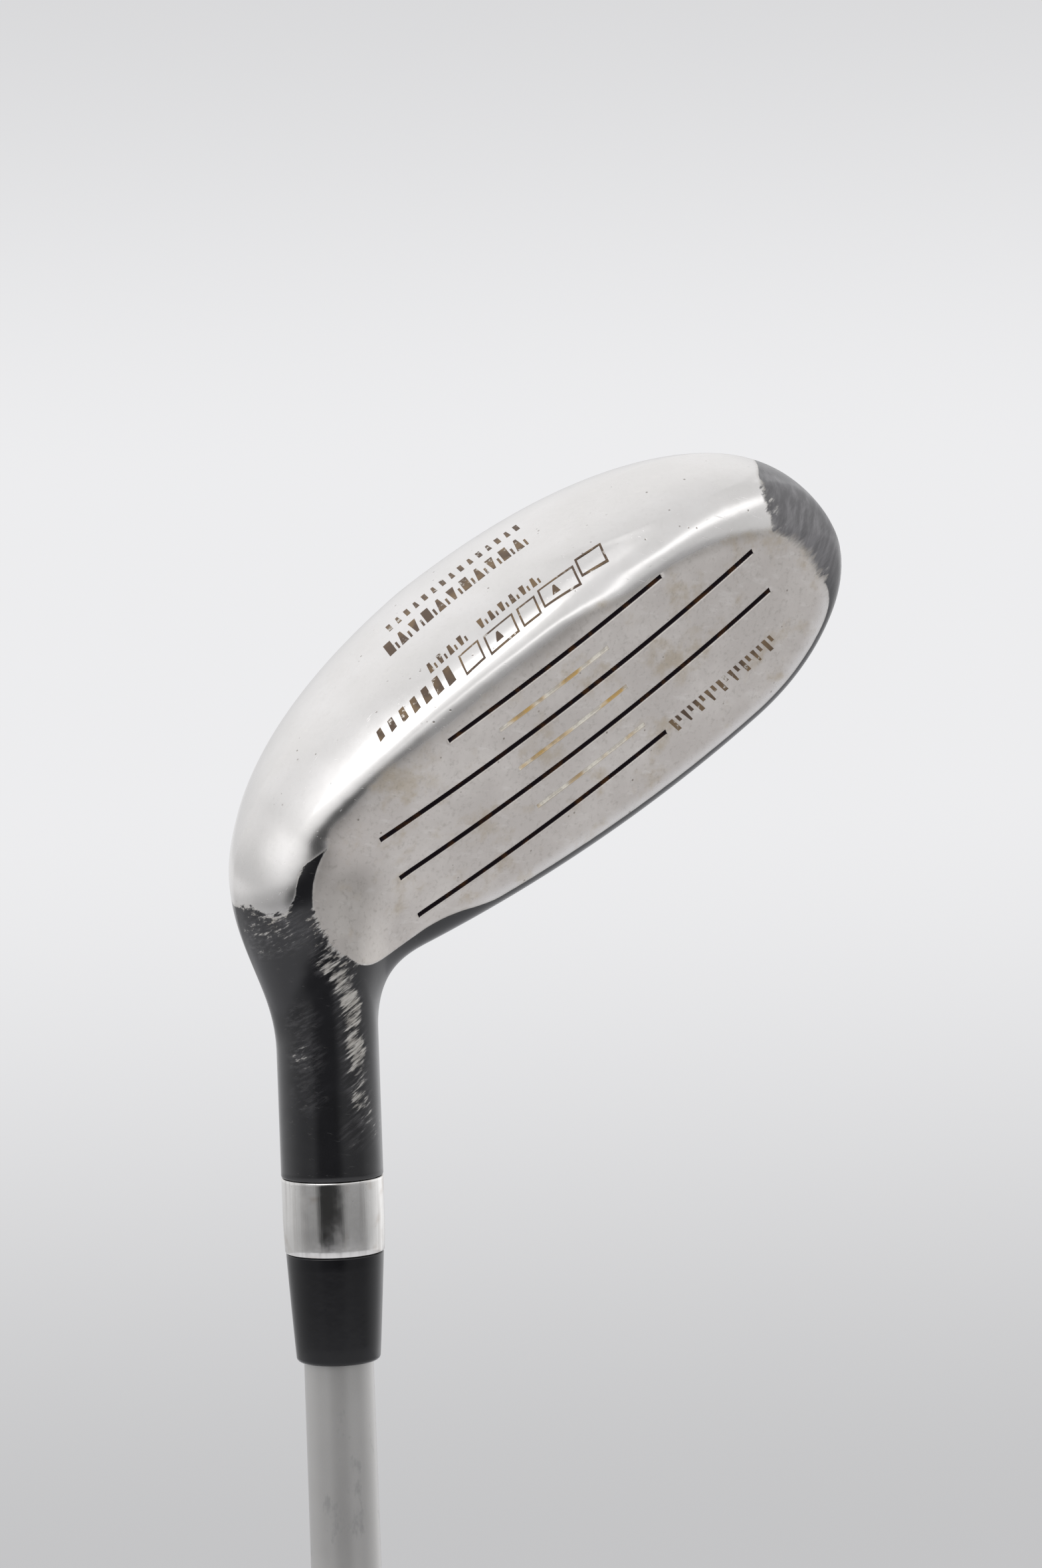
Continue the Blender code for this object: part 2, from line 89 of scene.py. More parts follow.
# How finely the head is made: rings along the hosel, its bend and the toe, and rows round the back.
HOSEL_RINGS = 26
BEND_RINGS = 64
TOE_RINGS = 46
BACK_ROWS = 190
LEVEL_STEP = 0.7
RAY_REACH = 75.0
RAY_STEP = 1.5
SKIN_HALVINGS = 24
SOLE_HALVINGS = 40

# The upright band behind the leading edge: where it starts, how it curves back toward the toe, how much
# further forward it stands at the heel, where it trims nothing, and the depth of the crease behind it.
BEVEL_FRONT = -4.35
BEVEL_SQUARE = 0.0022
BEVEL_FOURTH = 1.1e-6
BEVEL_HEEL_STEP = 1.4
CREASE_DEPTH = 0.17

# Score lines: pitch and first height up the face, then (start, end, half width, depth, gilded).
SCORE_PITCH = 3.6
FIRST_SCORE = -10.74
INKED = (0.48, 0.38)
GILDED = (0.36, 0.24)
SCORE_LINES = (
    (-18.5, 19.0, INKED, False),
    (-11.5, 7.5, GILDED, True),
    (-33.0, 33.0, INKED, False),
    (-11.5, 7.5, GILDED, True),
    (-33.0, 33.0, INKED, False),
    (-11.5, 7.5, GILDED, True),
    (-33.0, 10.0, INKED, False),
)
SCORE_PROFILE = (-1.14, -1.0, -0.74, -0.3, 0.3, 0.74, 1.0, 1.14)

# The shape of the bare steel lobe where the face runs into the hosel.
LOBE_CENTRE = (-33.5, 2.7)
LOBE_HALF = (13.0, 10.7)
LOBE_MEAN_HALF = 12.0

# Behind this h, in millimetres, there is neither face nor bare steel edge.
BEHIND_FACE = 12.0

# How much further down the shaft the ferrule's soft lip runs than the model's plain collar.
FERRULE_EXTRA = 0.8
# How far the ring and the ferrule reach up into the glue gap above them.
JOINT_GAP = 0.24

# Radii of the round fittings in millimetres, and how many sides they are made with.
RING_BORE_R = 4.85
FERRULE_BORE_R = 4.78
TIP_R = 4.7
BUTT_R = 7.6
GRIP_BUTT_R = 13.4
GRIP_MOUTH_R = 8.7
FITTING_SIDES = 160
SHAFT_SIDES = 96
GRIP_SIDES = 240
CAP_SIDES = 144

# How far the stamped marks' enamel stands above the steel, and how far it goes in, in millimetres.
MARK_LIFT = 0.025
MARK_SINK = 0.05

# The grip's cut pattern: diamonds that turn round it, with a ribbed band between each two fields of them.
DIAMOND_DEPTH = 0.5
RIB_DEPTH = 0.35
DIAMONDS_ROUND = 24.0
DIAMOND_TURN = 0.62
GROOVE_HALF = 0.26
GRIP_REPEAT = 60.0
GRIP_BORDER = 22.0

# The stripe down the hosel where the black paint is rubbed: x, h, z and how much is gone.
RUBBED_STRIPE = (
    (-46.6, 1.9, 1.2, 0.34),
    (-48.0, 2.0, 5.2, 0.60),
    (-47.3, 2.0, 8.0, 0.52),
    (-48.6, 2.2, 11.4, 0.66),
    (-50.4, 2.2, 14.2, 0.60),
    (-51.7, 2.0, 17.6, 0.66),
    (-53.7, 1.9, 20.6, 0.52),
    (-55.0, 2.0, 24.2, 0.56),
    (-56.4, 2.0, 28.4, 0.34),
)
# Other places where it is rubbed: x, h, z, reach in mm, and how much is gone.
RUBBED = (
    (-54.3, 3.0, 28.6, 2.6, 0.46),
    (-57.6, 1.9, 26.5, 3.4, 0.4),
    (-46.6, 3.6, -5.0, 2.2, 0.14),
    (-43.8, 2.8, -6.9, 2.0, 0.14),
    (-55.0, 4.0, 10.4, 3.6, 0.38),
    (-57.2, 4.0, 14.6, 3.6, 0.44),
    (-59.2, 4.6, 19.5, 4.0, 0.36),
    (-50.6, 4.2, -1.4, 4.4, 0.5),
    (-48.2, 2.2, -0.6, 3.0, 0.45),
    (-53.6, 7.4, -2.2, 4.8, 0.48),
    (-47.2, 1.9, 1.6, 2.4, 0.4),
    (40.6, 2.0, -9.4, 2.4, 0.5),
    (39.6, 1.2, -7.0, 2.4, 0.55),
    (39.2, 1.2, -4.4, 2.2, 0.5),
    (40.2, 2.8, -1.0, 2.2, 0.44),
    (41.2, 4.3, 2.6, 2.0, 0.4),
    (42.0, 5.8, 6.2, 2.0, 0.34),
    (43.2, 4.6, -3.6, 5.2, 0.34),
    (43.6, 6.0, 2.0, 5.0, 0.34),
)
# The toe's paint is dulled by fine rubbing: centre and reach in mm.
DULLED = (42.5, 5.0, -1.5, 13.0)

# The camera: where it stands, which way it looks, and its lens.
CAMERA_PLACE = (-0.33041, -0.89347, 1.09773)
CAMERA_AHEAD = (0.37155, 0.92291, -0.10093)
CAMERA_UP = (0.06833, 0.08124, 0.99435)
CAMERA_LENS = 163.95

# The floor is a disc of four rings, in metres, just under the club.
FLOOR_RADII = (0.0001, 0.6, 1.5, 3.1)
FLOOR_SIDES = 96
FLOOR_Z = -0.0005

# The one lamp, which stands high at the front left.
LAMP_PLACE = (-0.93, -0.67, 2.35)
LAMP_TARGET = (0.02, 0.0, 1.0)
LAMP_SIZE = (1.5, 1.2)
LAMP_POWER = 8.6

# Ovals of the tent in degrees, azimuth then elevation: centre, half size, softness, and how much
# brighter they are, or what share of the light they take. Azimuth 0 is the front.
LEFT_WALL = ((-58.0, 44.0), (48.0, 36.0), 0.4, 0.4)
RIGHT_WALL = ((98.0, -8.0), (40.0, 15.0), 0.35, 0.45)
SLANTED_BAND = ((35.0, 16.5), (48.0, 5.0), 0.4, 0.85)
BACK_WALL = ((180.0, 38.0), (52.0, 34.0), 0.4, 0.2)
DIM_FRONT = ((-8.0, -9.0), (102.0, 12.0), 0.3, 0.52)
DIM_OPENING = ((-26.0, -10.0), (29.0, 12.0), 0.35, 0.9)
BAND_SLANT = 0.19
DEGREES_PER_RADIAN = 57.3


# ---- the head's shape


def smooth_max(a, b, k):
    near = np.maximum(k - np.abs(a - b), 0.0) / k
    return np.maximum(a, b) + near * near * k * 0.25


def smooth_min(a, b, k):
    return -smooth_max(-a, -b, k)


def ease(value):
    t = np.clip(value, 0.0, 1.0)
    return t * t * (3.0 - 2.0 * t)


def dome(along, across, radii):
    drop = along * along / (2.0 * radii[0]) + across * across / (2.0 * radii[1])
    steep = np.sqrt(1.0 + (along / radii[0]) ** 2 + (across / radii[1]) ** 2)
    return drop, steep


def height_up_face(h, z):
    return h * math.sin(LOFT) + z * math.cos(LOFT)


def face_field(x, h, z):
    """Negative behind the striking face."""
    up_face = height_up_face(h, z)
    out = -h * math.cos(LOFT) + z * math.sin(LOFT)
    return out + x * x / (2.0 * BULGE_R) + up_face * up_face / (2.0 * ROLL_R)


def body_field(x, h, z):
    """Negative inside the rounded body, before the face is cut."""
    drop, steep = dome(x - SOLE_CENTRE[0], h - SOLE_CENTRE[1], SOLE_CAMBER_R)
    sole = (-z - SOLE_DEPTH + drop) / steep
    drop, steep = dome(x - CROWN_CENTRE[0], h - CROWN_CENTRE[1], CROWN_R)
    crown = (z - CROWN_HEIGHT + drop) / steep
    across = np.abs(x - OUTLINE_CENTRE[0]) / OUTLINE_HALF[0]
    behind = np.maximum(h - OUTLINE_CENTRE[1], 0.0) / OUTLINE_HALF[1]
    power = OUTLINE_POWER
    radius = (across**power + behind**power + 1e-9) ** (1.0 / power)
    slope_x = (across / radius) ** (power - 1.0) / OUTLINE_HALF[0]
    slope_h = (behind / radius) ** (power - 1.0) / OUTLINE_HALF[1]
    outline = (radius - 1.0) / np.sqrt(slope_x**2 + slope_h**2 + 1e-12)
    upper = smooth_max(outline, crown, OUTLINE_BLEND)
    return smooth_max(sole, upper, OUTLINE_BLEND)


def bevel_field(x, h):
    """Negative behind the upright band that trims the leading edge toward the toe."""
    toeward = np.maximum(x, 0.0)
    front = BEVEL_FRONT + BEVEL_SQUARE * toeward**2 + BEVEL_FOURTH * toeward**4
    return front - h - BEVEL_HEEL_STEP * (1.0 - ease((x - 1.0) / 14.0))


def hosel_end():
    px, py, pz = FACE_CENTRE
    along = -(px * math.sin(LIE) + pz * math.cos(LIE))
    above = -(px * math.cos(LIE) - pz * math.sin(LIE))
    return np.array([along, -py, above])


def hosel_axis():
    return np.array([math.cos(LIE), 0.0, -math.sin(LIE)])


def hosel_field(x, h, z):
    end = hosel_end()
    axis = hosel_axis()
    dx = x - end[0]
    dh = h - end[1]
    dz = z - end[2]
    along = dx * axis[0] + dz * axis[2]
    side = (dx - along * axis[0]) ** 2 + dh**2 + (dz - along * axis[2]) ** 2
    radius = np.sqrt(np.maximum(side, 1e-9))
    return smooth_max(radius - HOSEL_R, along - HOSEL_REACH, HOSEL_END_BLEND)


def head_field(x, h, z):
    """Negative inside the whole head."""
    toeward = ease((x - 5.0) / 25.0)
    upward = ease((z - EDGE_CHANGE_Z) / 10.0 + 0.5)
    low_edge = LEADING_EDGE_BLEND + (TOE_EDGE_BLEND - LEADING_EDGE_BLEND) * toeward
    edge = low_edge + (TOPLINE_BLEND - low_edge) * upward
    front = smooth_max(face_field(x, h, z), bevel_field(x, h), 0.5)
    body = smooth_max(body_field(x, h, z), front, edge)
    behind = ease((h - HOSEL_BLEND_FROM) / 12.0)
    blend = HOSEL_BLEND_FRONT + (HOSEL_BLEND_BACK - HOSEL_BLEND_FRONT) * behind
    return smooth_min(body, hosel_field(x, h, z), blend)


TOE_WARD = np.array([math.sin(LIE), 0.0, math.cos(LIE)])
BACK_WARD = np.array([0.0, 1.0, 0.0])
CROWN_WARD = np.array([math.cos(LIE), 0.0, -math.sin(LIE)])
HEAD_ORIGIN = np.array(FACE_CENTRE) + np.array([0.0, 0.0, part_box("hosel_ring")[1][2] / MM + 0.3])


def to_world(points):
    """The head's x, h and z in millimetres as world coordinates in metres."""
    points = np.asarray(points, float)
    x, h, z = points[..., :1], points[..., 1:2], points[..., 2:]
    return (HEAD_ORIGIN + x * TOE_WARD + h * BACK_WARD + z * CROWN_WARD) * MM


def face_point(x, up_face):
    sag = x * x / (2.0 * BULGE_R) + up_face * up_face / (2.0 * ROLL_R)
    h = up_face * math.sin(LOFT) + sag * math.cos(LOFT)
    z = up_face * math.cos(LOFT) - sag * math.sin(LOFT)
    return x, h, z


def spine_bend():
    reach = (hosel_end()[2] - SPINE_Z) / math.sin(LIE)
    return reach, SPINE_BEND_R * math.tan(LIE / 2.0)


def bend_end_x():
    reach, leg = spine_bend()
    return float(hosel_end()[0] + reach * math.cos(LIE) + leg)


def hosel_and_bend_rings():
    """Each ring's centre and direction down the hosel and round the bend, and how near the hosel it is."""
    end = hosel_end()
    axis = hosel_axis()
    reach, leg = spine_bend()
    rings = []
    for s in np.linspace(0.0, reach - leg, HOSEL_RINGS, endpoint=False):
        rings.append((end + axis * s, axis, 1.0))
    pivot = np.array([bend_end_x(), 0.0, SPINE_Z + SPINE_BEND_R])
    for part in np.linspace(0.0, 1.0, BEND_RINGS, endpoint=False):
        turn = -LIE * (1.0 - part)
        ahead = np.array([math.cos(turn), 0.0, math.sin(turn)])
        down = np.array([math.sin(turn), 0.0, -math.cos(turn)])
        centre = pivot + down * SPINE_BEND_R
        centre[1] = end[1] + SPINE_BEND_SHIFT * part * part
        rings.append((centre, ahead, 1.0 - part))
    return rings


def level_centre(x):
    part = (x - bend_end_x()) / (TOE_RING_X - bend_end_x())
    shift = (SPINE_CENTRE_SHIFT - SPINE_BEND_SHIFT) * part
    return np.array([x, hosel_end()[1] + SPINE_BEND_SHIFT + shift, SPINE_Z])


def row_turns(x, face_rows):
    """The angle of each row round a level ring: up the face, then back round over the crown and sole."""
    centre = level_centre(x)
    turns = []
    for up_face in face_rows:
        _, h, z = face_point(x, up_face)
        turn = math.atan2(z - centre[2], h - centre[1])
        turns.append(turn if turn > 0.0 else turn + 2.0 * math.pi)
    first = turns[-1]
    last = turns[0] - 2.0 * math.pi
    for i in range(1, BACK_ROWS + 1):
        t = i / (BACK_ROWS + 1)
        t -= 0.45 * math.sin(2.0 * math.pi * t) / (2.0 * math.pi)
        turns.append(first + (last - first) * t)
    return np.array(turns)


def narrow(inside, outside, field_at, halvings):
    """Halves each span from inside the head to outside it, down to the surface."""
    for _ in range(halvings):
        middle = 0.5 * (inside + outside)
        beyond = field_at(middle) > 0.0
        outside = np.where(beyond, middle, outside)
        inside = np.where(beyond, inside, middle)
    return outside


def skin_distance(origins, rays):
    """How far along each ray the head's surface is."""
    low = np.zeros(len(origins))
    high = np.full(len(origins), RAY_REACH)
    open_ray = np.ones(len(origins), bool)
    for i in range(1, int(RAY_REACH / RAY_STEP) + 1):
        at = origins + rays * (i * RAY_STEP)
        outside = head_field(at[:, 0], at[:, 1], at[:, 2]) > 0.0
        crossed = outside & open_ray
        high[crossed] = i * RAY_STEP
        low[crossed] = (i - 1) * RAY_STEP
        open_ray &= ~outside
        if not open_ray.any():
            break
    return narrow(low, high, lambda far: head_field(*(origins + rays * far[:, None]).T), SKIN_HALVINGS)


def ring_rays(ahead, turns):
    upward = np.cross(ahead, BACK_WARD)
    return np.cos(turns)[:, None] * BACK_WARD + np.sin(turns)[:, None] * upward


def skin_ring(centre, rays):
    origins = np.repeat(centre[None], len(rays), 0)
    return origins + rays * skin_distance(origins, rays)[:, None]


def face_rows():
    """Heights up the face: even rows, and rows that follow each score line's cross section."""
    rows = list(np.linspace(-20.5, FIRST_SCORE - 1.0, 22))
    for i, line in enumerate(SCORE_LINES):
        middle = FIRST_SCORE + i * SCORE_PITCH
        half = line[2][0]
        rows += [middle + half * part for part in SCORE_PROFILE]
        if i < len(SCORE_LINES) - 1:
            next_start = middle + SCORE_PITCH - SCORE_LINES[i + 1][2][0]
            rows += list(np.linspace(middle + half, next_start, 6)[1:-1])
    rows += list(np.linspace(FIRST_SCORE + 6 * SCORE_PITCH + 1.0, 21.5, 24))
    return rows


def level_stations():
    """Ring places along the level spine, with several near each score line's ends."""
    places = set(np.round(np.arange(bend_end_x(), TOE_RING_X, LEVEL_STEP), 3))
    for start, end, _, _ in SCORE_LINES:
        near = {start, end}
        for inside in (0.06, 0.16, 0.32, 0.5):
            near |= {start + inside, end - inside}
        places = {p for p in places if min(abs(p - q) for q in near) > 0.05} | near
    return sorted(places | {TOE_RING_X})


def score_depth(x, up_face):
    """How deep the score lines are cut here, how inked and how gilded the place is."""
    depth = np.zeros(len(up_face))
    ink = np.zeros(len(up_face))
    gilt = np.zeros(len(up_face))
    for i, (start, end, (half, deep), gilded) in enumerate(SCORE_LINES):
        inside = min(x - start, end - x)
        if inside < -1e-6:
            continue
        taper = math.sqrt(max(1.0 - max(1.0 - inside / 0.5, 0.0) ** 2, 0.0))
        off = np.abs(up_face - (FIRST_SCORE + i * SCORE_PITCH))
        across = off / half
        bowl = np.clip((1.0 - across) / 0.5, 0.0, 1.0) * taper
        cut = deep * bowl * (2.0 - bowl)
        depth = np.maximum(depth, cut)
        amount = np.where((across < 0.9) & (taper > 0.3), 1.0, 0.0)
        if gilded:
            gilt = np.maximum(gilt, amount)
        else:
            ink = np.maximum(ink, amount)
    return depth, ink, gilt


def lobe_inside(x, up_face):
    """How far inside the bare lobe at the heel a place is, in millimetres, or outside it where negative."""
    across = np.minimum(x - LOBE_CENTRE[0], 0.0) / LOBE_HALF[0]
    upward = (up_face - LOBE_CENTRE[1]) / LOBE_HALF[1]
    return (1.0 - np.sqrt(across**2 + upward**2)) * LOBE_MEAN_HALF


def head_grid():
    """The head's outer skin: a grid of points, ink and gilt amounts, and the toe's end point."""
    rows = face_rows()
    stations = level_stations()
    first = row_turns(stations[0], rows)
    even = first[0] - 2.0 * math.pi * np.arange(len(first)) / len(first)
    rings = []
    inks = []
    gilts = []
    blank = np.zeros(len(first))
    for centre, ahead, near_hosel in hosel_and_bend_rings():
        turns = first + (even - first) * float(ease(near_hosel))
        rings.append(skin_ring(centre, ring_rays(ahead, turns)))
        inks.append(blank)
        gilts.append(blank)
    inward = np.array([0.0, math.cos(LOFT), -math.sin(LOFT)])
    toeward = np.array([1.0, 0.0, 0.0])
    heights = np.array(rows)
    for x in stations:
        level = ring_rays(toeward, row_turns(x, rows))
        ring = skin_ring(level_centre(x), level)
        depth, ink, gilt = score_depth(x, heights)
        ring[: len(rows)] += inward * depth[:, None]
        rings.append(ring)
        inks.append(np.concatenate([ink, np.zeros(BACK_ROWS)]))
        gilts.append(np.concatenate([gilt, np.zeros(BACK_ROWS)]))
    centre = level_centre(TOE_RING_X)
    for i in range(1, TOE_RINGS):
        tilt = 0.5 * math.pi * i / TOE_RINGS
        rings.append(skin_ring(centre, math.cos(tilt) * level + math.sin(tilt) * toeward))
        inks.append(blank)
        gilts.append(blank)
    tip = skin_ring(centre, toeward[None])[0]
    return np.array(rings), np.array(inks), np.array(gilts), tip


def press_sole_crease(points):
    """A faint crease toward the toe, where the sole meets the band behind the leading edge."""
    x, h, z = points[:, 0], points[:, 1], points[:, 2]
    above = z + 16.5 - 0.27 * (x - 20.3)
    dip = CREASE_DEPTH * ease((above + 0.35) / 0.7) * (1.0 - ease((above - 1.2) / 3.0))
    dip = dip * ease((x - 4.0) / 18.0) * (1.0 - ease((h - 6.0) / 3.0)) * (1.0 - ease((z + 7.0) / 2.0))
    points[:, 2] += dip
    points[:, 1] += dip * 0.5


# ---- where the paint is


def paint_border(points):
    """Signed distance into the black paint, in millimetres."""
    x, h, z = points[:, 0], points[:, 1], points[:, 2]
    up_face = height_up_face(h, z)
    # The paint's lower edge round the heel.
    front = 1.0 - ease((h - 3.5) / 5.0)
    low_edge = -5.8 - 0.053 * (x + 52.0)
    low_edge += 2.6 * front * (1.0 - ease((x + 48.6) / 4.5))
    low_edge -= 1.1 * front * ease((x + 46.5) / 4.0) * (1.0 - ease((x + 40.0) / 30.0))
    above = z - low_edge
    # The strip left bare along the topline, and low down the line across the toe.
    edge = face_field(x, h, z) - body_field(x, h, z)
    toe_step = 0.65 + 1.65 * (1.0 - ease((z - 4.0) / 9.0))
    toe_step = 0.62 + (toe_step - 0.62) * ease((x - 31.0) / 5.0)
    toe_line = 37.6 + 0.28 * np.maximum(-4.7 - z, 0.0) + 0.45 * np.clip(h - 1.0, 0.0, 5.0) - x
    low = 1.0 - ease((z + 6.2) / 3.0)
    bare = (edge - toe_step) * (1.0 - low) + toe_line * low
    # At the heel the bare part follows the lobe's outline.
    lobe = lobe_inside(x, up_face)
    upper = up_face > LOBE_CENTRE[1]
    heelward = ease(np.where(upper, (LOBE_CENTRE[0] + 12.0 - x) / 12.0, LOBE_CENTRE[0] + 1.0 - x))
    bare = bare * (1.0 - heelward) + np.minimum(np.maximum(edge, 1.5), lobe) * heelward
    bare = np.where(h > BEHIND_FACE, -6.0, bare)
    return np.clip(np.minimum(above, -bare), -6.0, 6.0)


def face_amount(points):
    """How far inside the satin face a place is, in millimetres; its border is soft along the topline."""
    x, h, z = points[:, 0], points[:, 1], points[:, 2]
    up_face = height_up_face(h, z)
    edge = face_field(x, h, z) - body_field(x, h, z)
    edge = np.minimum(edge, 3.0 * (face_field(x, h, z) - bevel_field(x, h)) + 1.35)
    heel = 1.3 * (1.0 - ease((x + 30.0) / 14.0)) * (1.0 - ease((z + 2.0) / 6.0))
    near_top = ease((z - 1.0) / 6.0)
    edge = (edge + heel) * (1.0 - near_top) + (0.4 + 0.5 * edge) * near_top
    lobe = lobe_inside(x, up_face)
    heelward = ease((LOBE_CENTRE[0] - x) / 5.0)
    in_lobe = np.where(lobe > 0.0, np.minimum(1.3 + lobe, 6.0), -2.0)
    beside = ease((x + 43.5) / 6.0) * (1.0 - ease((up_face + 1.0) / 3.0))
    in_lobe = np.maximum(in_lobe, -2.0 + (np.minimum(edge, 4.0) + 2.6) * beside)
    edge = edge * (1.0 - heelward) + in_lobe * heelward
    return np.clip(np.where(h > BEHIND_FACE, -6.0, edge), -6.0, 12.0)


def rubbed_stripe(points):
    total = np.zeros(len(points))
    for start, end in zip(RUBBED_STRIPE[:-1], RUBBED_STRIPE[1:]):
        origin = np.array(start[:3])
        along = np.array(end[:3]) - origin
        share = np.clip((points - origin) @ along / (along @ along), 0.0, 1.0)
        away = np.linalg.norm(points - origin - share[:, None] * along, axis=1)
        gone = start[3] + (end[3] - start[3]) * share
        total = np.maximum(total, gone * ease(1.25 - away / 2.9))
    return total


def rubbed_amount(points):
    total = rubbed_stripe(points)
    for x, h, z, reach, gone in RUBBED:
        away = np.linalg.norm(points - np.array([x, h, z]), axis=1)
        total = np.maximum(total, gone * ease(1.35 - away / reach))
    return total


def dulled_amount(points):
    away = np.linalg.norm(points - np.array(DULLED[:3]), axis=1)
    return ease(1.25 - away / DULLED[3])


# ---- meshes


def linked(name, data):
    obj = bpy.data.objects.new(name, data)
    bpy.context.scene.collection.objects.link(obj)
    return obj


def new_object(name, points, faces, smooth=True):
    """A mesh object whose faces all look outward."""
    mesh = bpy.data.meshes.new(name)
    mesh.from_pydata([tuple(p) for p in points], [], faces)
    work = bmesh.new()
    work.from_mesh(mesh)
    bmesh.ops.recalc_face_normals(work, faces=work.faces)
    if work.calc_volume(signed=True) < 0.0:
        bmesh.ops.reverse_faces(work, faces=work.faces)
    work.to_mesh(mesh)
    work.free()
    mesh.polygons.foreach_set("use_smooth", [smooth] * len(mesh.polygons))
    return linked(name, mesh)


def write_amount(obj, name, values):
    layer = obj.data.attributes.new(name, "FLOAT", "POINT")
    layer.data.foreach_set("value", np.asarray(values, np.float32))


def grid_faces(rings, count, closed=False):
    """Quads from each ring of points to the next, and from the last back to the first where closed."""
    faces = []
    for i in range(rings if closed else rings - 1):
        low = i * count
        high = (i + 1) % rings * count
        for j in range(count):
            k = (j + 1) % count
            faces.append((low + j, low + k, high + k, high + j))
    return faces


def finish_piece(obj, material, slot, *nodes):
    obj.data.materials.append(material)
    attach(obj, "root")
    if nodes:
        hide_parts(*nodes)


def bore_rings(rim):
    """Rings from the blind bore's floor out to the hosel's rim, matched to the skin's first ring."""
    end = hosel_end()
    axis = hosel_axis()
    spokes = rim - end
    spokes -= np.outer(spokes @ axis, axis)
    spokes /= np.linalg.norm(spokes, axis=1)[:, None]
    rings = []
    places = [(BORE_R, BORE_DEPTH), (BORE_R, BORE_DEPTH - 0.5), (BORE_R, 8.0), (BORE_R, 0.4)]
    places += [(BORE_R + 0.3, 0.02), (HOSEL_R - 0.22, 0.02), (HOSEL_R - 0.06, 0.1)]
    for radius, depth in places:
        rings.append(end + axis * depth + spokes * radius)
    return rings, end + axis * BORE_DEPTH


def build_head(material):
    rings, inks, gilts, tip = head_grid()
    count = rings.shape[1]
    rings[0] += hosel_axis() * 0.28
    inner, floor = bore_rings(rings[0])
    local = np.concatenate([*inner, *rings, tip[None], floor[None]])
    pad = np.zeros(len(inner) * count)
    amounts = {
        "paint_mm": paint_border(local),
        "face_mm": face_amount(local),
        "rubbed": rubbed_amount(local),
        "dulled": dulled_amount(local),
        "ink": np.concatenate([pad, inks.reshape(-1), [0.0, 0.0]]),
        "gilt": np.concatenate([pad, gilts.reshape(-1), [0.0, 0.0]]),
    }
    press_sole_crease(local)
    total = len(inner) + len(rings)
    faces = grid_faces(total, count)
    last = (total - 1) * count
    tip_index = total * count
    for j in range(count):
        k = (j + 1) % count
        faces.append((last + j, last + k, tip_index))
        faces.append((k, j, tip_index + 1))
    obj = new_object("club_head", to_world(local), faces)
    for name, values in amounts.items():
        write_amount(obj, name, values)
    finish_piece(obj, material, "head_steel", "head_body", "crown_plate")


def circle(radius, z, segments):
    """A level ring of points in millimetres; radius is one number, or one for each point."""
    turn = 2.0 * math.pi * np.arange(segments) / segments
    return np.stack([radius * np.cos(turn), radius * np.sin(turn), np.full(segments, z)], 1)


def lathe(name, profile, segments):
    """A round piece from (radius, z) points in millimetres, going round its cross section."""
    rings = [circle(radius, z, segments) for radius, z in profile]
    points = np.concatenate(rings) * MM
    return new_object(name, points, grid_faces(len(rings), segments, closed=True))


def ends_of(node):
    """The lowest and highest z of a CAD node in millimetres."""
    low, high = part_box(node)
    return low[2] / MM, high[2] / MM


def arc(centre_r, centre_z, radius, start, end, steps):
    """Points along a quarter or part turn, angles in degrees, in (radius, z)."""
    out = []
    for angle in np.linspace(start, end, steps):
        a = math.radians(angle)
        out.append((centre_r + radius * math.cos(a), centre_z + radius * math.sin(a)))
    return out


def build_ring(material):
    bottom, top = ends_of("hosel_ring")
    top += JOINT_GAP
    profile = [(RING_BORE_R, bottom), (6.42, bottom)]
    profile += arc(6.42, bottom + 0.3, 0.3, -80, -10, 6)
    profile += [(6.76, bottom + 0.9), (6.84, bottom + 2.4), (6.89, bottom + 4.5), (6.88, top - 0.4)]
    profile += arc(6.76, top - 0.12, 0.12, 0, 90, 4)
    profile += [(RING_BORE_R, top)]
    obj = lathe("hosel_trim_ring", profile, FITTING_SIDES)
    finish_piece(obj, material, "polished_ring", "hosel_ring")


def build_ferrule(material):
    bottom, top = ends_of("ferrule")
    bottom -= FERRULE_EXTRA
    top += JOINT_GAP
    profile = [(FERRULE_BORE_R, bottom + 0.25), (4.95, bottom)]
    profile += arc(5.0, bottom + 0.7, 0.7, -88, -4, 8)
    for i in range(1, 9):
        part = i / 8.0
        radius = 5.7 + (6.6 - 5.7) * part**0.92
        profile.append((radius, bottom + 0.75 + (top - bottom - 0.95) * part))
    profile += arc(6.42, top - 0.18, 0.18, 10, 90, 4)
    profile += [(FERRULE_BORE_R, top)]
    obj = lathe("ferrule_collar", profile, FITTING_SIDES)
    finish_piece(obj, material, "ferrule_black", "ferrule")


def shaft_radius(z):
    top = ends_of("ferrule")[0] + 0.3
    low = ends_of("shaft")[0]
    part = np.clip((top - z) / (top - low), 0.0, 1.0)
    return TIP_R + (BUTT_R - TIP_R) * part


def build_shaft(material):
    bottom, top = ends_of("shaft")
    stations = np.concatenate([[bottom], np.linspace(bottom + 1.0, top - 1.0, 60), [top]])
    outer = [(shaft_radius(z), z) for z in stations]
    inner = []
    for z in stations[::-6]:
        inner.append((shaft_radius(z) - 1.0 - 0.6 * (z - bottom) / (top - bottom), z))
    obj = lathe("tapered_shaft", outer + inner, SHAFT_SIDES)
    finish_piece(obj, material, "shaft_graphite", "shaft")


